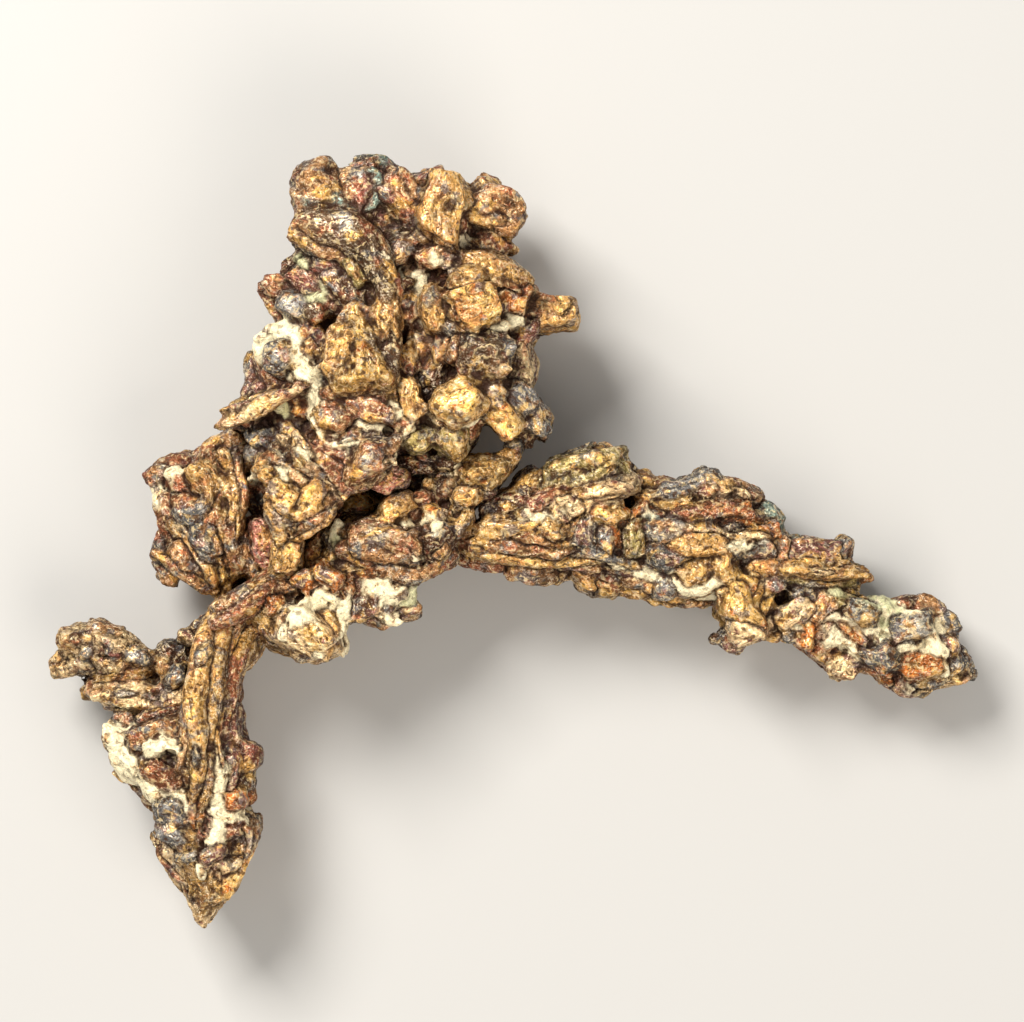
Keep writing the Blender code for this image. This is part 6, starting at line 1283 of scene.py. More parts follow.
# ---------------------------------------------------------------- right arm
# The long branch to the right: rows of gold and slate nodules over thin shelves, a stub hanging from its
# middle, a long pale blade, and a dark tip laced with calcite. Its tip rests on one crystal.
ARM = [
    # root
    (50.4, 50.9, 3.0, 5.0, 3.2, 32, "nugget", "umber"),
    (49.7, 52.8, 4.0, 4.6, 2.4, 2, "nugget", "gold"),
    (47.8, 54.0, 3.4, 4.4, 2.4, -8, "nugget", "rust"),
    (48.4, 55.9, 0.6, 5.8, 1.9, -14, "nugget", "rust"),
    (51.4, 55.3, 3.2, 9.4, 1.3, -9, "rib", "yellow"),
    (53.3, 57.2, -0.4, 5.2, 2.2, -8, "nugget", "bronze"),
    (55.5, 57.6, 0.0, 1.6, 1.5, -30, "nugget", "gold"),
    (53.6, 54.0, 4.2, 5.0, 2.4, -5, "nugget", "bronze"),
    (52.8, 51.6, 4.4, 2.8, 1.9, 20, "nugget", "olive"),
    (54.7, 53.1, 4.8, 3.8, 2.0, 15, "nugget", "gold"),
    (52.9, 48.4, 2.6, 3.6, 2.8, 58, "nugget", "umber"),
    (53.6, 49.0, 3.2, 3.0, 1.2, 75, "rib", "bronze"),
    (58.4, 46.6, 3.6, 8.8, 2.9, 13, "block", "olive"),
    (57.6, 45.8, 3.2, 6.0, 1.4, 20, "rib", "slate"),
    (60.8, 45.4, 3.0, 2.4, 1.9, -30, "nugget", "gold"),
    (62.1, 46.6, 2.2, 2.8, 2.0, -35, "nugget", "umber"),
    (55.4, 48.7, 4.0, 3.2, 1.5, 5, "nugget", "rust"),
    (60.0, 48.9, 4.4, 8.0, 2.0, 9, "block", "pale"),
    (64.0, 48.1, 2.8, 2.6, 1.8, -18, "nugget", "gold"),
    (54.8, 50.2, 4.6, 3.2, 1.8, 15, "block", "rust"),
    (56.3, 50.8, 4.8, 3.4, 2.6, 30, "block", "pale"),
    (55.7, 51.7, 5.2, 2.4, 1.1, 50, "crust", "calcite"),
    (53.6, 51.9, 4.8, 1.6, 1.1, 20, "nugget", "calcite"),
    (58.1, 50.9, 4.6, 2.8, 2.2, 60, "block", "pale"),
    (61.0, 51.5, 5.2, 4.0, 1.9, 3, "nugget", "yellow"),
    (64.5, 50.1, 3.8, 2.8, 1.8, 28, "nugget", "gold"),
    (62.9, 51.9, 4.6, 4.8, 1.1, 22, "rib", "amber"),
    (57.4, 52.7, 4.8, 3.4, 1.4, 46, "rib", "gold"),
    (58.4, 53.5, 4.8, 3.3, 1.8, 86, "nugget", "slate"),
    (60.3, 53.9, 4.8, 2.9, 1.8, 82, "nugget", "slate"),
    (61.2, 53.2, 5.0, 2.6, 0.8, -62, "rib", "amber"),
    (63.6, 53.7, 4.8, 3.3, 2.3, 75, "nugget", "olive"),
    (60.6, 55.4, 4.0, 6.2, 1.5, -11, "blade", "slate"),
    (57.8, 56.6, 2.6, 4.4, 1.7, -5, "nugget", "mauve"),
    (62.5, 56.6, 3.4, 5.2, 1.6, -12, "blade", "mauve"),
    (61.2, 56.0, 4.4, 2.8, 0.7, -14, "crust", "calcite"),
    (58.5, 57.9, 1.4, 3.0, 2.0, -35, "nugget", "gold"),
    (60.3, 58.6, 1.0, 3.0, 2.0, -15, "nugget", "gold"),
    (61.4, 59.0, 0.4, 1.8, 1.5, 30, "nugget", "bronze"),
    (63.4, 59.2, 0.8, 3.2, 1.8, -10, "nugget", "gold"),
    (63.4, 57.7, 2.8, 2.6, 2.3, 70, "nugget", "bronze"),
    (64.4, 56.8, 4.0, 2.0, 0.9, -45, "crust", "calcite"),
    (65.0, 51.8, 4.4, 2.6, 1.6, 5, "nugget", "verdigris"),
    (56.2, 54.4, 4.0, 3.2, 2.0, 0, "nugget", "yellow"),
    # crystals along the arm's upper edge, halfway between front and back
    (59.0, 47.0, 0.3, 4.0, 2.4, 30, "nugget", "bronze"),
    (64.2, 49.6, -0.2, 3.6, 2.2, -20, "nugget", "rust"),
    (70.0, 49.6, 0.2, 4.4, 2.2, 12, "block", "slate"),
    (75.0, 51.2, -0.3, 3.4, 2.4, -36, "nugget", "bronze"),
    # middle
    (66.4, 48.7, 2.4, 2.2, 1.7, 20, "nugget", "bronze"),
    (68.8, 48.8, 3.6, 6.8, 2.4, 15, "block", "slate"),
    (70.9, 47.7, 2.8, 3.2, 1.6, -18, "spike", "slate"),
    (71.6, 49.0, 4.0, 4.4, 2.3, -8, "nugget", "pale"),
    (74.0, 49.2, 2.8, 4.6, 2.3, -22, "block", "bronze"),
    (67.6, 50.1, 4.4, 4.2, 1.0, -6, "rib", "yellow"),
    (72.4, 50.4, 3.0, 6.6, 1.2, 2, "rib", "umber"),
    (71.6, 51.5, 4.2, 8.6, 1.6, -2, "rib", "amber"),
    (70.4, 52.7, 4.8, 7.2, 1.1, -5, "rib", "pale"),
    (66.8, 52.9, 5.0, 3.6, 2.4, 20, "block", "slate"),
    (72.9, 52.9, 5.2, 2.2, 1.3, -10, "nugget", "slate"),
    (75.4, 53.4, 4.2, 5.0, 1.8, 18, "block", "amber"),
    (76.9, 52.1, 2.8, 3.6, 2.5, -48, "nugget", "verdigris"),
    (69.6, 54.4, 5.2, 5.6, 2.8, -8, "block", "gold"),
    (66.7, 55.6, 5.0, 4.2, 2.6, 5, "nugget", "slate"),
    (72.8, 55.1, 5.2, 3.4, 1.2, -18, "nugget", "slate"),
    (72.8, 54.4, 5.2, 3.2, 0.6, -16, "crust", "calcite"),
    (75.6, 55.2, 4.6, 3.6, 1.9, 25, "block", "slate"),
    (69.2, 57.0, 5.0, 3.2, 2.4, 15, "nugget", "gold"),
    (72.1, 56.7, 5.2, 3.3, 2.8, 80, "nugget", "gold"),
    (66.6, 58.5, 3.4, 3.2, 2.6, 70, "nugget", "slate"),
    (65.0, 58.4, 2.8, 2.2, 1.8, 30, "nugget", "gold"),
    (69.6, 58.8, 2.4, 4.8, 2.2, -5, "crust", "calcite"),
    (70.4, 58.8, 3.8, 0.9, 0.8, 0, "nugget", "umber"),
    (66.4, 60.0, 0.6, 3.8, 1.2, -8, "nugget", "gold"),
    (69.4, 60.1, 0.4, 3.8, 1.1, -4, "nugget", "bronze"),
    # spur that hangs from the arm's middle
    (73.8, 60.2, 4.6, 5.6, 4.4, 80, "smooth", "yellow"),
    (72.4, 58.7, 5.0, 2.0, 1.7, 30, "nugget", "gold"),
    (74.4, 58.5, 5.4, 2.0, 1.8, -30, "block", "yellow"),
    (75.0, 62.4, 4.0, 5.2, 3.6, 15, "smooth", "pale"),
    (73.2, 64.1, 1.4, 3.0, 2.0, -32, "nugget", "slate"),
    (73.2, 65.1, 0.6, 1.4, 0.7, -60, "spike", "pale"),
    (71.7, 64.0, 0.8, 1.2, 1.0, 0, "nugget", "umber"),
    (76.0, 61.2, 4.0, 3.8, 2.3, 80, "nugget", "yellow"),
    # outer part, with the long blade
    (76.4, 56.6, 4.8, 3.6, 2.6, 10, "nugget", "gold"),
    (77.0, 58.5, 4.8, 2.9, 1.8, 0, "nugget", "slate"),
    (77.8, 54.6, 3.8, 2.6, 2.2, 70, "block", "bronze"),
    (79.3, 54.6, 2.4, 2.4, 1.7, 10, "nugget", "verdigris"),
    (81.4, 55.1, 3.2, 5.0, 2.4, 0, "block", "mauve"),
    (84.1, 54.9, 2.4, 2.7, 2.5, 60, "nugget", "slate"),
    (82.2, 57.0, 3.8, 10.6, 2.5, -3, "spike", "gold"),
    (81.0, 57.0, 5.2, 5.6, 1.1, -4, "blade", "pale"),
    (79.6, 56.6, 4.4, 5.0, 2.0, -5, "block", "gold"),
    (85.6, 57.7, 2.6, 4.2, 1.3, 4, "spike", "amber"),
    (79.8, 58.7, 2.4, 7.0, 1.1, -3, "rib", "umber"),
    (80.0, 60.2, 3.6, 2.4, 1.7, 10, "nugget", "slate"),
    (79.4, 61.3, 3.6, 3.6, 2.2, 30, "block", "pale"),
    (82.0, 60.7, 3.4, 3.2, 2.4, 60, "block", "bronze"),
    (78.0, 61.7, 1.8, 2.6, 1.6, 10, "nugget", "umber"),
    (78.2, 63.3, 2.0, 5.0, 1.8, -10, "nugget", "gold"),
    (78.9, 63.8, 3.0, 1.7, 1.3, -20, "nugget", "slate"),
    (80.8, 63.4, 3.0, 3.8, 1.5, 70, "block", "amber"),
    (79.3, 62.4, 3.2, 3.6, 0.9, -20, "blade", "calcite"),
    (82.4, 62.3, 2.8, 2.4, 1.6, 70, "block", "rust"),
    (82.2, 65.1, 1.4, 3.8, 2.3, -28, "nugget", "rust"),
    (83.6, 58.8, 2.6, 4.0, 1.2, -8, "nugget", "olive"),
    # tip, calcite web between dark crystals
    (84.4, 60.0, 3.4, 5.2, 1.7, -8, "nugget", "olive"),
    (86.0, 61.2, 4.2, 3.5, 2.6, -20, "nugget", "slate"),
    (88.2, 61.7, 2.6, 4.4, 3.6, -35, "crust", "celadon"),
    (87.2, 63.3, 3.2, 3.2, 1.4, -10, "nugget", "celadon"),
    (90.5, 60.5, 1.8, 2.9, 1.2, 4, "nugget", "umber"),
    (93.0, 60.9, 2.0, 3.4, 1.8, -12, "block", "bronze"),
    (94.0, 60.4, 1.6, 1.6, 0.5, 42, "spike", "umber"),
    (91.2, 62.8, 3.8, 3.4, 2.6, 10, "block", "slate"),
    (93.4, 63.4, 2.0, 6.6, 2.4, -58, "crust", "calcite"),
    (91.4, 65.0, 2.4, 4.4, 1.4, -8, "crust", "calcite"),
    (84.8, 64.0, 2.2, 5.6, 2.2, -40, "crust", "calcite"),
    (85.2, 62.9, 3.8, 3.9, 1.2, -36, "block", "amber"),
    (95.0, 62.7, 2.4, 3.2, 2.2, -50, "nugget", "slate"),
    (95.0, 64.7, 3.0, 2.7, 2.2, 20, "nugget", "mauve"),
    (96.3, 65.7, 1.2, 4.0, 1.5, -66, "nugget", "slate"),
    (97.0, 67.6, 0.2, 3.4, 1.7, -38, "spike", "slate"),
    (95.3, 67.9, 1.0, 4.4, 1.5, -4, "nugget", "pale"),
    (95.4, 66.4, 2.8, 2.7, 1.9, 40, "nugget", "slate"),
    (88.0, 65.4, 3.8, 5.0, 3.0, -10, "nugget", "slate"),
    (92.0, 66.4, 3.4, 4.2, 2.3, 0, "block", "amber"),
    (84.3, 66.6, 1.4, 3.3, 2.9, 20, "nugget", "pale"),
    (86.8, 66.9, 1.6, 2.8, 1.3, -20, "nugget", "bronze"),
    (88.7, 68.0, 1.4, 2.8, 1.4, -28, "nugget", "amber"),
    (90.2, 68.2, 1.6, 3.2, 2.0, -35, "nugget", "mauve"),
    (91.7, 68.9, 0.8, 3.8, 1.8, -8, "nugget", "pale"),
    (92.8, 67.9, 2.0, 3.6, 2.1, 18, "nugget", "slate"),
]
ARM_BANDS = [
    ("yellow", 0.3, [(46.4, 55.2, 0.7), (48.6, 55.5, 1.0), (51.4, 56.0, 1.2), (54.4, 56.4, 1.3),
                     (57.2, 56.2, 1.0), (60.0, 56.2, 0.7)]),
    ("bronze", 0.2, [(46.4, 54.0, 0.9), (49.0, 54.2, 1.5), (52.0, 54.8, 1.5), (55.0, 55.2, 1.2),
                     (57.2, 55.0, 0.7)]),
    ("gold", 0.2, [(48.2, 52.4, 0.8), (50.6, 52.6, 1.4), (53.6, 53.0, 1.5), (56.4, 53.2, 1.0)]),
    ("bronze", 0.3, [(50.8, 57.4, 0.9), (52.6, 57.5, 1.4), (55.0, 57.3, 1.2)]),
    ("olive", 0.4, [(54.6, 47.4, 1.2), (56.4, 46.5, 2.2), (59.0, 46.1, 2.6), (60.8, 45.8, 1.8)]),
    ("pale", 0.3, [(56.8, 49.2, 1.0), (59.2, 48.9, 1.8), (61.8, 48.8, 2.0), (63.4, 48.8, 1.2)]),
    ("slate", 0.3, [(57.9, 55.0, 1.5), (60.0, 55.4, 1.4), (62.4, 56.0, 0.9), (64.4, 56.6, 0.5)]),
    ("rust", 0.3, [(67.4, 51.4, 1.0), (70.0, 51.0, 1.5), (72.8, 51.0, 1.6), (75.4, 51.6, 1.1)]),
    ("pale", 0.3, [(66.6, 52.9, 0.7), (69.0, 52.5, 1.0), (71.6, 52.8, 1.1), (74.4, 53.6, 1.1),
                   (76.4, 53.6, 0.8)]),
    ("slate", 0.3, [(66.2, 49.2, 0.8), (67.8, 49.0, 1.5), (69.4, 48.8, 1.3), (71.0, 48.0, 0.8)]),
    ("pale", 0.3, [(69.8, 49.3, 0.9), (71.4, 49.0, 1.4), (73.6, 49.3, 1.4), (75.2, 49.8, 0.9)]),
    ("yellow", 0.3, [(65.6, 50.4, 0.7), (67.4, 50.2, 1.0), (69.2, 50.2, 0.8)]),
    ("yellow", 0.2, [(73.0, 58.6, 1.0), (74.4, 60.4, 1.6), (75.8, 62.0, 1.8), (77.0, 63.0, 0.9)]),
    ("gold", 0.3, [(77.6, 57.0, 1.0), (80.0, 56.9, 1.3), (82.8, 57.2, 1.4), (85.0, 57.5, 1.1),
                   (87.2, 57.6, 0.4)]),
    ("olive", 0.2, [(79.0, 58.2, 0.7), (81.6, 58.4, 1.1), (84.0, 58.4, 1.1), (85.6, 58.0, 0.6)]),
    ("mauve", 0.3, [(80.0, 55.0, 1.2), (81.6, 54.9, 1.9), (83.0, 55.2, 1.2)]),
    ("calcite", 0.1, [(60.4, 55.9, 0.5), (61.4, 56.2, 0.8), (62.2, 56.2, 0.4)]),
    ("calcite", 0.2, [(63.4, 56.8, 0.5), (64.4, 57.4, 0.7)]),
    ("calcite", 0.2, [(64.6, 51.8, 0.7), (65.4, 51.6, 0.9)]),
    ("calcite", 0.1, [(52.6, 51.8, 0.5), (53.6, 51.4, 0.8), (54.0, 52.2, 0.5)]),
    ("calcite", 0.2, [(55.0, 50.9, 0.5), (56.0, 51.0, 1.1), (56.6, 51.8, 0.8)]),
    ("calcite", 0.3, [(67.8, 57.8, 0.8), (69.0, 58.6, 1.6), (70.6, 58.6, 1.2), (71.4, 58.4, 0.6)]),
    ("calcite", 0.2, [(72.2, 54.5, 0.5), (73.4, 54.9, 0.6), (74.6, 55.1, 0.6), (75.8, 54.7, 0.4)]),
    ("calcite", 0.1, [(69.2, 50.8, 0.4), (70.4, 50.2, 0.5)]),
    ("calcite", 0.2, [(83.4, 61.6, 0.6), (84.4, 62.1, 0.8), (85.6, 62.5, 0.9), (87.0, 62.9, 1.4),
                      (88.0, 63.6, 1.0)]),
    ("calcite", 0.3, [(83.0, 62.8, 0.9), (83.6, 63.6, 1.2), (84.8, 64.4, 0.6), (85.6, 65.2, 0.5)]),
    ("celadon", 0.3, [(86.2, 60.4, 0.7), (87.4, 60.8, 1.0), (88.4, 60.7, 1.2), (89.6, 61.4, 1.2),
                      (88.6, 62.6, 1.2)]),
    ("calcite", 0.3, [(90.4, 61.2, 0.6), (91.4, 61.4, 0.6), (92.2, 62.4, 0.8), (92.8, 63.4, 1.0),
                      (93.2, 64.6, 1.5), (93.6, 65.6, 1.0), (94.4, 66.4, 0.6), (94.4, 67.6, 0.5)]),
    ("calcite", 0.2, [(90.6, 64.6, 0.5), (91.8, 64.7, 0.7), (93.0, 64.4, 0.9)]),
    ("calcite", 0.2, [(90.4, 68.4, 0.5), (91.4, 69.0, 0.6)]),
    ("celadon", 0.2, [(82.7, 59.2, 0.7), (83.8, 59.3, 0.6)]),
    ("amber", 0.3, [(87.8, 67.0, 0.7), (88.5, 67.5, 0.9)]),
]
ARM_CORES = [
    (50.6, 53.2, 8.0, 4.0, 7.0, -10),
    (58.0, 49.6, 12.0, 5.0, 8.4, 5),
    (59.0, 54.6, 13.0, 4.0, 7.6, -8),
    (69.5, 51.0, 12.0, 4.6, 7.6, -6),
    (69.5, 56.0, 13.0, 5.0, 7.4, -6),
    (74.2, 60.4, 4.0, 5.6, 5.6, 0),
    (79.6, 57.0, 9.0, 3.4, 6.6, -3),
    (80.0, 61.6, 7.0, 4.4, 5.0, 0),
    (87.6, 62.8, 8.0, 4.8, 5.0, -15),
    (92.6, 65.4, 6.6, 4.4, 4.4, -10),
    (84.2, 65.2, 5.0, 3.4, 4.2, -20),
    (60.4, 57.4, 7.0, 2.4, 5.0, -8),
    (77.8, 60.2, 5.0, 3.4, 5.0, 0),
    (96.0, 66.6, 3.4, 2.0, 3.0, -50),
    (83.6, 55.4, 3.0, 2.4, 4.0, 0),
]


def arm_middle(x):
    """Height of the arm's middle surface, which falls from its root to its tip, in squares."""
    along = min(max((x - 56.0) / (96.0 - 56.0), 0.0), 1.0)
    return 10.0 + (5.5 - 10.0) * along


ARM_FEET = [(4, (91.4, 65.2, 1.5, 4.6, 3.4, 4.2))]
arm_crystals = branch_crystals(6, ARM, ARM_BANDS, ARM_CORES, ARM_FEET, arm_middle)
finished_branch("right_arm", "arm_of_copper", arm_crystals, 0.30, 190000)

# ---------------------------------------------------------------- lower leg
# The branch that runs down from the bar: long gold and rust ribs, blocks set in calcite on its left side,
# and a broad pitted foot that ends in a point and rests on one crystal behind.
LEG = [
    (22.0, 60.9, 4.4, 4.0, 1.8, 50, "rib", "bronze"),
    (22.4, 64.2, 5.0, 8.0, 3.2, 64, "rib", "bronze"),
    (24.0, 63.0, 4.6, 5.0, 1.8, 55, "rib", "gold"),
    (20.5, 67.3, 5.0, 6.8, 2.2, 76, "rib", "bronze"),
    (20.7, 65.2, 8.4, 2.8, 1.4, 66, "nugget", "slate"),
    (19.9, 70.4, 8.2, 2.2, 1.1, 82, "nugget", "slate"),
    (19.8, 75.4, 8.0, 2.8, 1.2, 88, "nugget", "slate"),
    (21.3, 71.4, 5.8, 10.6, 2.0, 86, "rib", "gold"),
    (19.3, 73.5, 5.0, 9.4, 2.1, 89, "rib", "bronze"),
    (19.6, 72.8, 6.0, 2.6, 1.4, 80, "nugget", "slate"),
    (20.2, 79.3, 4.8, 7.4, 1.7, -84, "rib", "amber"),
    (22.9, 68.4, 4.6, 8.0, 2.2, 82, "rib", "rust"),
    (24.7, 65.2, 3.2, 4.8, 2.6, 62, "nugget", "gold"),
    (25.4, 63.6, 2.6, 3.0, 2.4, 50, "nugget", "bronze"),
    (23.1, 72.4, 4.2, 4.8, 2.4, 88, "block", "mauve"),
    (24.6, 76.0, 3.6, 3.0, 2.8, 40, "nugget", "mauve"),
    (24.4, 78.0, 3.8, 2.6, 2.4, -20, "nugget", "umber"),
    (23.4, 76.6, 4.6, 3.2, 1.6, 80, "block", "mauve"),
    (23.8, 79.6, 5.0, 2.8, 1.9, 12, "block", "amber"),
    (22.0, 77.2, 4.4, 5.8, 1.4, 84, "crust", "calcite"),
    (22.3, 80.9, 4.2, 5.2, 1.6, -18, "crust", "calcite"),
    (21.8, 83.2, 4.0, 3.0, 1.4, 70, "crust", "calcite"),
    (20.7, 82.2, 5.0, 4.2, 1.4, 88, "rib", "mauve"),
    (23.3, 82.7, 4.4, 2.8, 1.4, 14, "block", "umber"),
    # left flank, calcite between blocks
    (13.6, 75.6, 3.2, 7.6, 4.0, -56, "crust", "calcite"),
    (16.6, 79.0, 3.8, 5.6, 3.0, -30, "crust", "calcite"),
    (13.2, 74.0, 3.2, 3.8, 3.0, 0, "crust", "calcite"),
    (11.4, 73.9, 3.0, 1.7, 1.6, 20, "nugget", "bronze"),
    (15.8, 73.2, 4.2, 4.8, 2.3, 14, "block", "bronze"),
    (13.9, 73.8, 4.0, 2.6, 1.7, -60, "block", "umber"),
    (12.4, 71.9, 2.6, 2.2, 1.5, 10, "nugget", "umber"),
    (15.6, 71.5, 2.4, 5.8, 1.3, 14, "rib", "umber"),
    (16.8, 74.3, 5.6, 2.8, 0.9, -4, "block", "calcite"),
    (15.8, 74.6, 5.6, 1.6, 1.4, 40, "nugget", "calcite"),
    (17.0, 75.7, 4.2, 3.4, 1.1, -5, "block", "mauve"),
    (16.6, 77.3, 5.0, 4.4, 2.2, -24, "block", "rust"),
    (14.7, 76.8, 4.6, 2.2, 1.1, 85, "block", "slate"),
    (14.0, 78.2, 0.6, 7.0, 1.4, -52, "rib", "bronze"),
    (12.0, 75.8, 2.0, 2.8, 1.4, -50, "nugget", "gold"),
    (17.5, 81.0, 5.2, 4.0, 2.6, -24, "smooth", "slate"),
    (17.6, 83.2, 4.8, 4.2, 2.4, -34, "smooth", "slate"),
    # pointed foot
    (20.5, 86.4, 1.8, 12.2, 8.8, -92, "spike", "gold"),
    (20.4, 88.3, 2.8, 8.9, 9.8, -91, "plate", "pale"),
    (25.0, 82.8, 1.6, 3.8, 1.8, -68, "nugget", "umber"),
    (23.2, 86.4, 2.6, 7.2, 2.6, 62, "block", "yellow"),
    (24.9, 83.4, 3.2, 3.8, 1.9, 70, "nugget", "bronze"),
    (20.4, 87.0, 5.2, 1.6, 1.0, 80, "crust", "calcite"),
    (16.3, 84.5, 0.8, 3.6, 1.6, -58, "nugget", "umber"),
    (17.3, 86.3, 0.8, 4.6, 1.4, -48, "rib", "umber"),
    (21.5, 85.2, 5.4, 2.6, 1.7, 50, "block", "mauve"),
    (19.2, 85.6, 5.4, 2.8, 1.3, 5, "nugget", "slate"),
    # nubs at the leg's upper left
    (19.0, 63.8, 2.6, 2.4, 1.3, -20, "nugget", "pale"),
    (20.0, 62.6, 2.4, 1.9, 1.5, 30, "nugget", "umber"),
]
LEG_BANDS = [
    ("gold", 0.3, [(30.0, 57.6, 1.6), (27.0, 58.3, 2.2), (24.6, 59.8, 2.4), (22.9, 62.0, 2.4),
                   (21.8, 65.0, 2.3), (21.9, 69.0, 1.7), (21.6, 73.0, 1.4), (21.0, 77.0, 1.3),
                   (20.6, 80.5, 1.2), (20.3, 83.2, 0.9)]),
    ("gold", 0.3, [(24.5, 58.8, 1.4), (22.2, 60.8, 2.0), (20.9, 63.5, 2.4), (20.2, 67.0, 2.5),
                   (19.9, 70.0, 2.4), (19.9, 74.0, 2.3), (20.0, 77.0, 1.8), (20.0, 80.0, 1.0)]),
    ("rust", 0.2, [(26.2, 62.6, 2.2), (24.4, 64.0, 2.4), (23.3, 67.0, 2.1), (23.2, 70.0, 1.9),
                   (23.1, 73.4, 1.5)]),
    ("calcite", 0.3, [(22.2, 74.8, 0.8), (22.0, 76.5, 1.3), (22.0, 78.5, 1.3), (21.4, 80.2, 1.4)]),
    ("calcite", 0.3, [(20.8, 80.8, 0.8), (22.4, 81.4, 1.3), (24.2, 81.6, 0.9), (25.2, 81.9, 0.5)]),
    ("calcite", 0.3, [(21.8, 82.0, 0.9), (21.6, 83.4, 1.2), (21.0, 84.2, 0.6)]),
    ("calcite", 0.3, [(15.0, 74.4, 0.8), (16.2, 74.3, 1.2), (17.8, 74.4, 0.9)]),
    ("calcite", 0.2, [(14.2, 77.6, 0.9), (15.6, 78.6, 1.4), (17.2, 78.9, 1.9), (18.6, 79.5, 1.3),
                      (19.0, 80.8, 0.7)]),
    ("calcite", 0.1, [(12.2, 73.4, 0.9), (12.9, 75.0, 1.6), (13.6, 76.4, 1.5), (14.2, 77.6, 0.8)]),
    ("bronze", 0.3, [(24.0, 82.4, 0.7), (25.3, 82.6, 1.0), (25.3, 83.8, 1.0), (24.8, 85.2, 0.7)]),
    ("rust", 0.3, [(15.9, 84.6, 0.7), (16.6, 86.4, 0.9), (18.0, 88.2, 0.8)]),
]
LEG_CORES = [
    (22.8, 65.0, 8.0, 3.6, 8.0, 66),
    (21.4, 74.0, 14.0, 4.2, 9.0, 88),
    (16.6, 76.6, 6.0, 6.0, 7.0, 0),
    (20.4, 83.4, 7.6, 6.8, 6.6, 90),
    (23.6, 77.8, 6.0, 2.4, 6.0, 90),
    (19.4, 63.4, 4.4, 1.8, 5.0, 35),
    (14.2, 74.4, 4.0, 4.4, 5.0, 0),
]
LEG_FEET = [(3, (20.6, 83.0, 2.5, 5.4, 4.6, 6.6))]
leg_crystals = branch_crystals(4, LEG, LEG_BANDS, LEG_CORES, LEG_FEET, lambda x: 9.5)
finished_branch("lower_leg", "leg_of_copper", leg_crystals, 0.30, 120000)

# ---------------------------------------------------------------- side spur
# Two short tapering fingers that leave the leg to the left, slate and pale gold, with a dark hollow
# between them.
SPUR = [
    (7.7, 64.4, 1.6, 4.0, 4.0, 15, "nugget", "pale"),
    (7.6, 63.8, 2.8, 1.8, 1.4, 15, "nugget", "umber"),
    (5.9, 66.6, 0.6, 2.4, 2.2, 20, "nugget", "pale"),
    (7.8, 66.4, 1.6, 3.2, 1.3, 18, "nugget", "pale"),
    (10.3, 63.4, 2.0, 3.6, 2.4, -28, "block", "bronze"),
    (12.8, 65.2, 2.4, 9.4, 3.4, -22, "spike", "pale"),
    (11.0, 65.9, 3.0, 4.4, 1.4, -10, "rib", "pale"),
    (13.8, 65.6, 4.2, 2.6, 1.3, -30, "crust", "slate"),
    (8.6, 65.2, 3.1, 1.7, 1.2, 20, "crust", "slate"),
    (10.9, 64.8, 3.4, 2.6, 1.3, 5, "block", "umber"),
    (12.6, 67.3, 2.4, 7.8, 1.4, 8, "blade", "gold"),
    (16.2, 66.6, 3.2, 2.2, 1.4, -50, "nugget", "gold"),
    (8.9, 69.0, 0.2, 2.4, 1.5, 10, "nugget", "bronze"),
    (14.4, 69.7, 2.2, 8.8, 2.9, -5, "block", "pale"),
    (12.6, 69.4, 3.4, 3.0, 1.4, -5, "nugget", "slate"),
    (15.0, 69.6, 3.4, 2.6, 1.2, 30, "nugget", "slate"),
    (12.9, 71.0, 1.4, 3.2, 1.4, -5, "nugget", "pale"),
    (17.7, 67.6, 4.0, 2.6, 2.2, 20, "nugget", "slate"),
    (17.2, 65.3, 2.4, 2.8, 1.9, -20, "block", "umber"),
    (18.4, 65.6, 3.0, 2.6, 2.6, 50, "nugget", "umber"),
]
SPUR_CORES = [
    (12.0, 65.4, 10.0, 2.8, 4.6, -18),
    (13.6, 69.0, 9.0, 2.6, 4.6, -4),
    (17.6, 66.8, 3.0, 3.4, 5.0, 0),
    (12.6, 67.3, 6.0, 1.6, 3.4, 5),
    (7.2, 65.2, 4.0, 3.6, 3.6, 30),
]
spur_crystals = branch_crystals(5, SPUR, [], SPUR_CORES, [], lambda x: 7.0)
finished_branch("side_spur", "spur_of_copper", spur_crystals, 0.28, 50000)

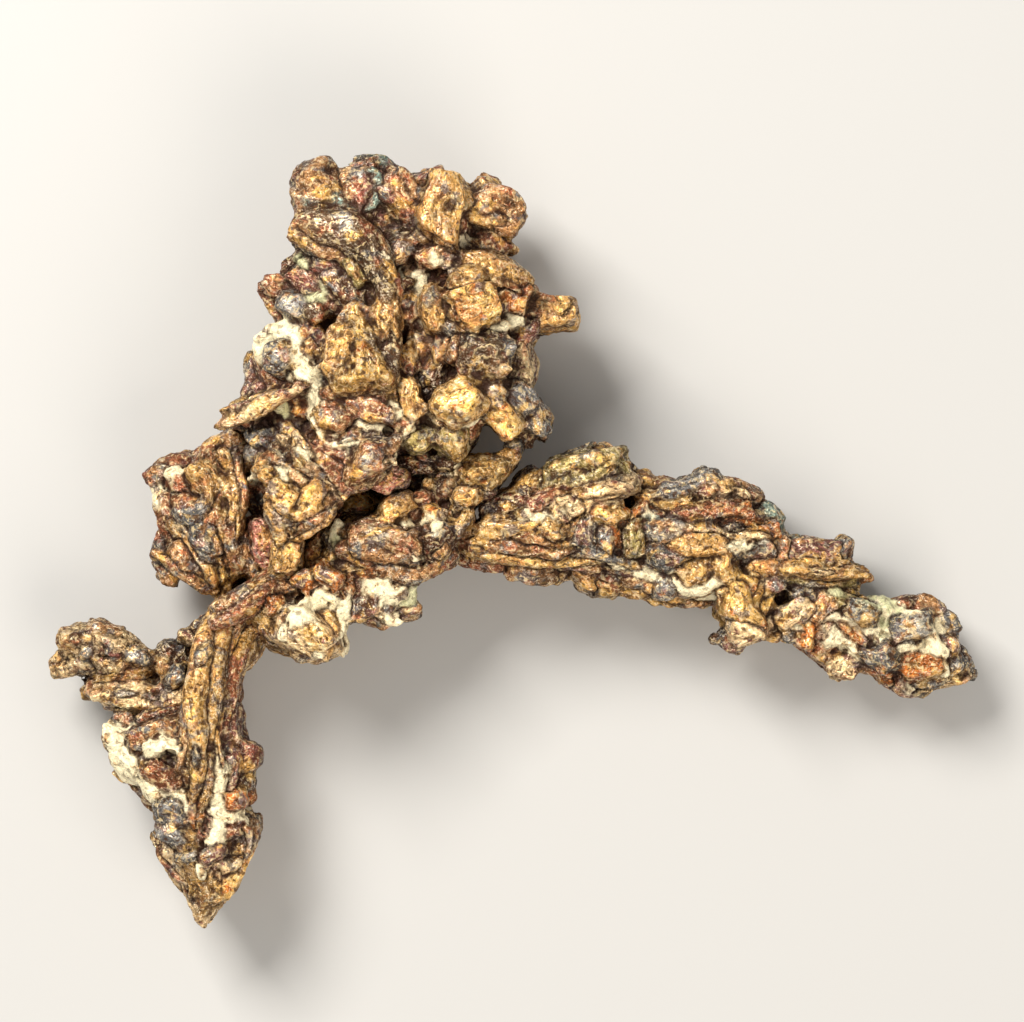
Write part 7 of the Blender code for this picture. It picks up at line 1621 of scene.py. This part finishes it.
# ---------------------------------------------------------------- floor, light and camera
# A plain pale floor that the nugget lies on, a large soft light above its upper left, and a camera that
# looks straight down from about a metre.
floor_form = bmesh.new()
bmesh.ops.create_grid(floor_form, x_segments=1, y_segments=1, size=1.5)
floor_mesh = bpy.data.meshes.new("floor")
floor_form.to_mesh(floor_mesh)
floor_form.free()
floor = bpy.data.objects.new("floor", floor_mesh)
bpy.context.scene.collection.objects.link(floor)
# Matt pale paper: it has no gloss, so the nugget throws a soft shadow on it and no reflection.
pale = bpy.data.materials.new("matt_pale_paper")
pale.use_nodes = True
pale.node_tree.nodes["Principled BSDF"].inputs["Base Color"].default_value = (*linear("#cfcfce"), 1.0)
pale.node_tree.nodes["Principled BSDF"].inputs["Roughness"].default_value = 0.9
floor_mesh.materials.append(pale)


def soft_light(name, place, aim, side, power, colour):
    """A square soft light at this place that shines on the aim."""
    data = bpy.data.lights.new(name, "AREA")
    data.shape, data.size, data.energy, data.color = "SQUARE", side, power, linear(colour)
    lamp = bpy.data.objects.new(name, data)
    lamp.location = place
    lamp.rotation_euler = (Vector(aim) - Vector(place)).to_track_quat("-Z", "Y").to_euler()
    bpy.context.scene.collection.objects.link(lamp)


soft_light("key", (-0.34, 0.42, 0.62), (0, 0, 0.01), 0.34, 8.0, "#fffaf2")
soft_light("fill", (0.30, -0.46, 0.55), (0, 0, 0.01), 0.50, 3.0, "#fff4e6")
world = bpy.data.worlds.new("studio")
world.use_nodes = True
world.node_tree.nodes["Background"].inputs["Color"].default_value = (*linear("#f4f4f2"), 1.0)
world.node_tree.nodes["Background"].inputs["Strength"].default_value = 0.35
bpy.context.scene.world = world
bpy.context.scene.view_settings.view_transform = "Standard"

LOOK_HEIGHT = 0.016  # metres: the height that the view is framed on
DISTANCE = 0.95  # metres from there up to the camera
FRAME_WIDTH = 0.16384  # metres that the camera sees from side to side at that height
LOOK_AT = (51.2, 51.1)  # the sheet's point below the camera
camera_data = bpy.data.cameras.new("camera")
camera_data.lens = camera_data.sensor_width * DISTANCE / FRAME_WIDTH
camera = bpy.data.objects.new("camera", camera_data)
across, up = LOOK_AT[0] - SHEET_CENTRE[0], SHEET_CENTRE[1] - LOOK_AT[1]
camera.location = (across * SQUARE, up * SQUARE, LOOK_HEIGHT + DISTANCE)
bpy.context.scene.collection.objects.link(camera)
bpy.context.scene.camera = camera
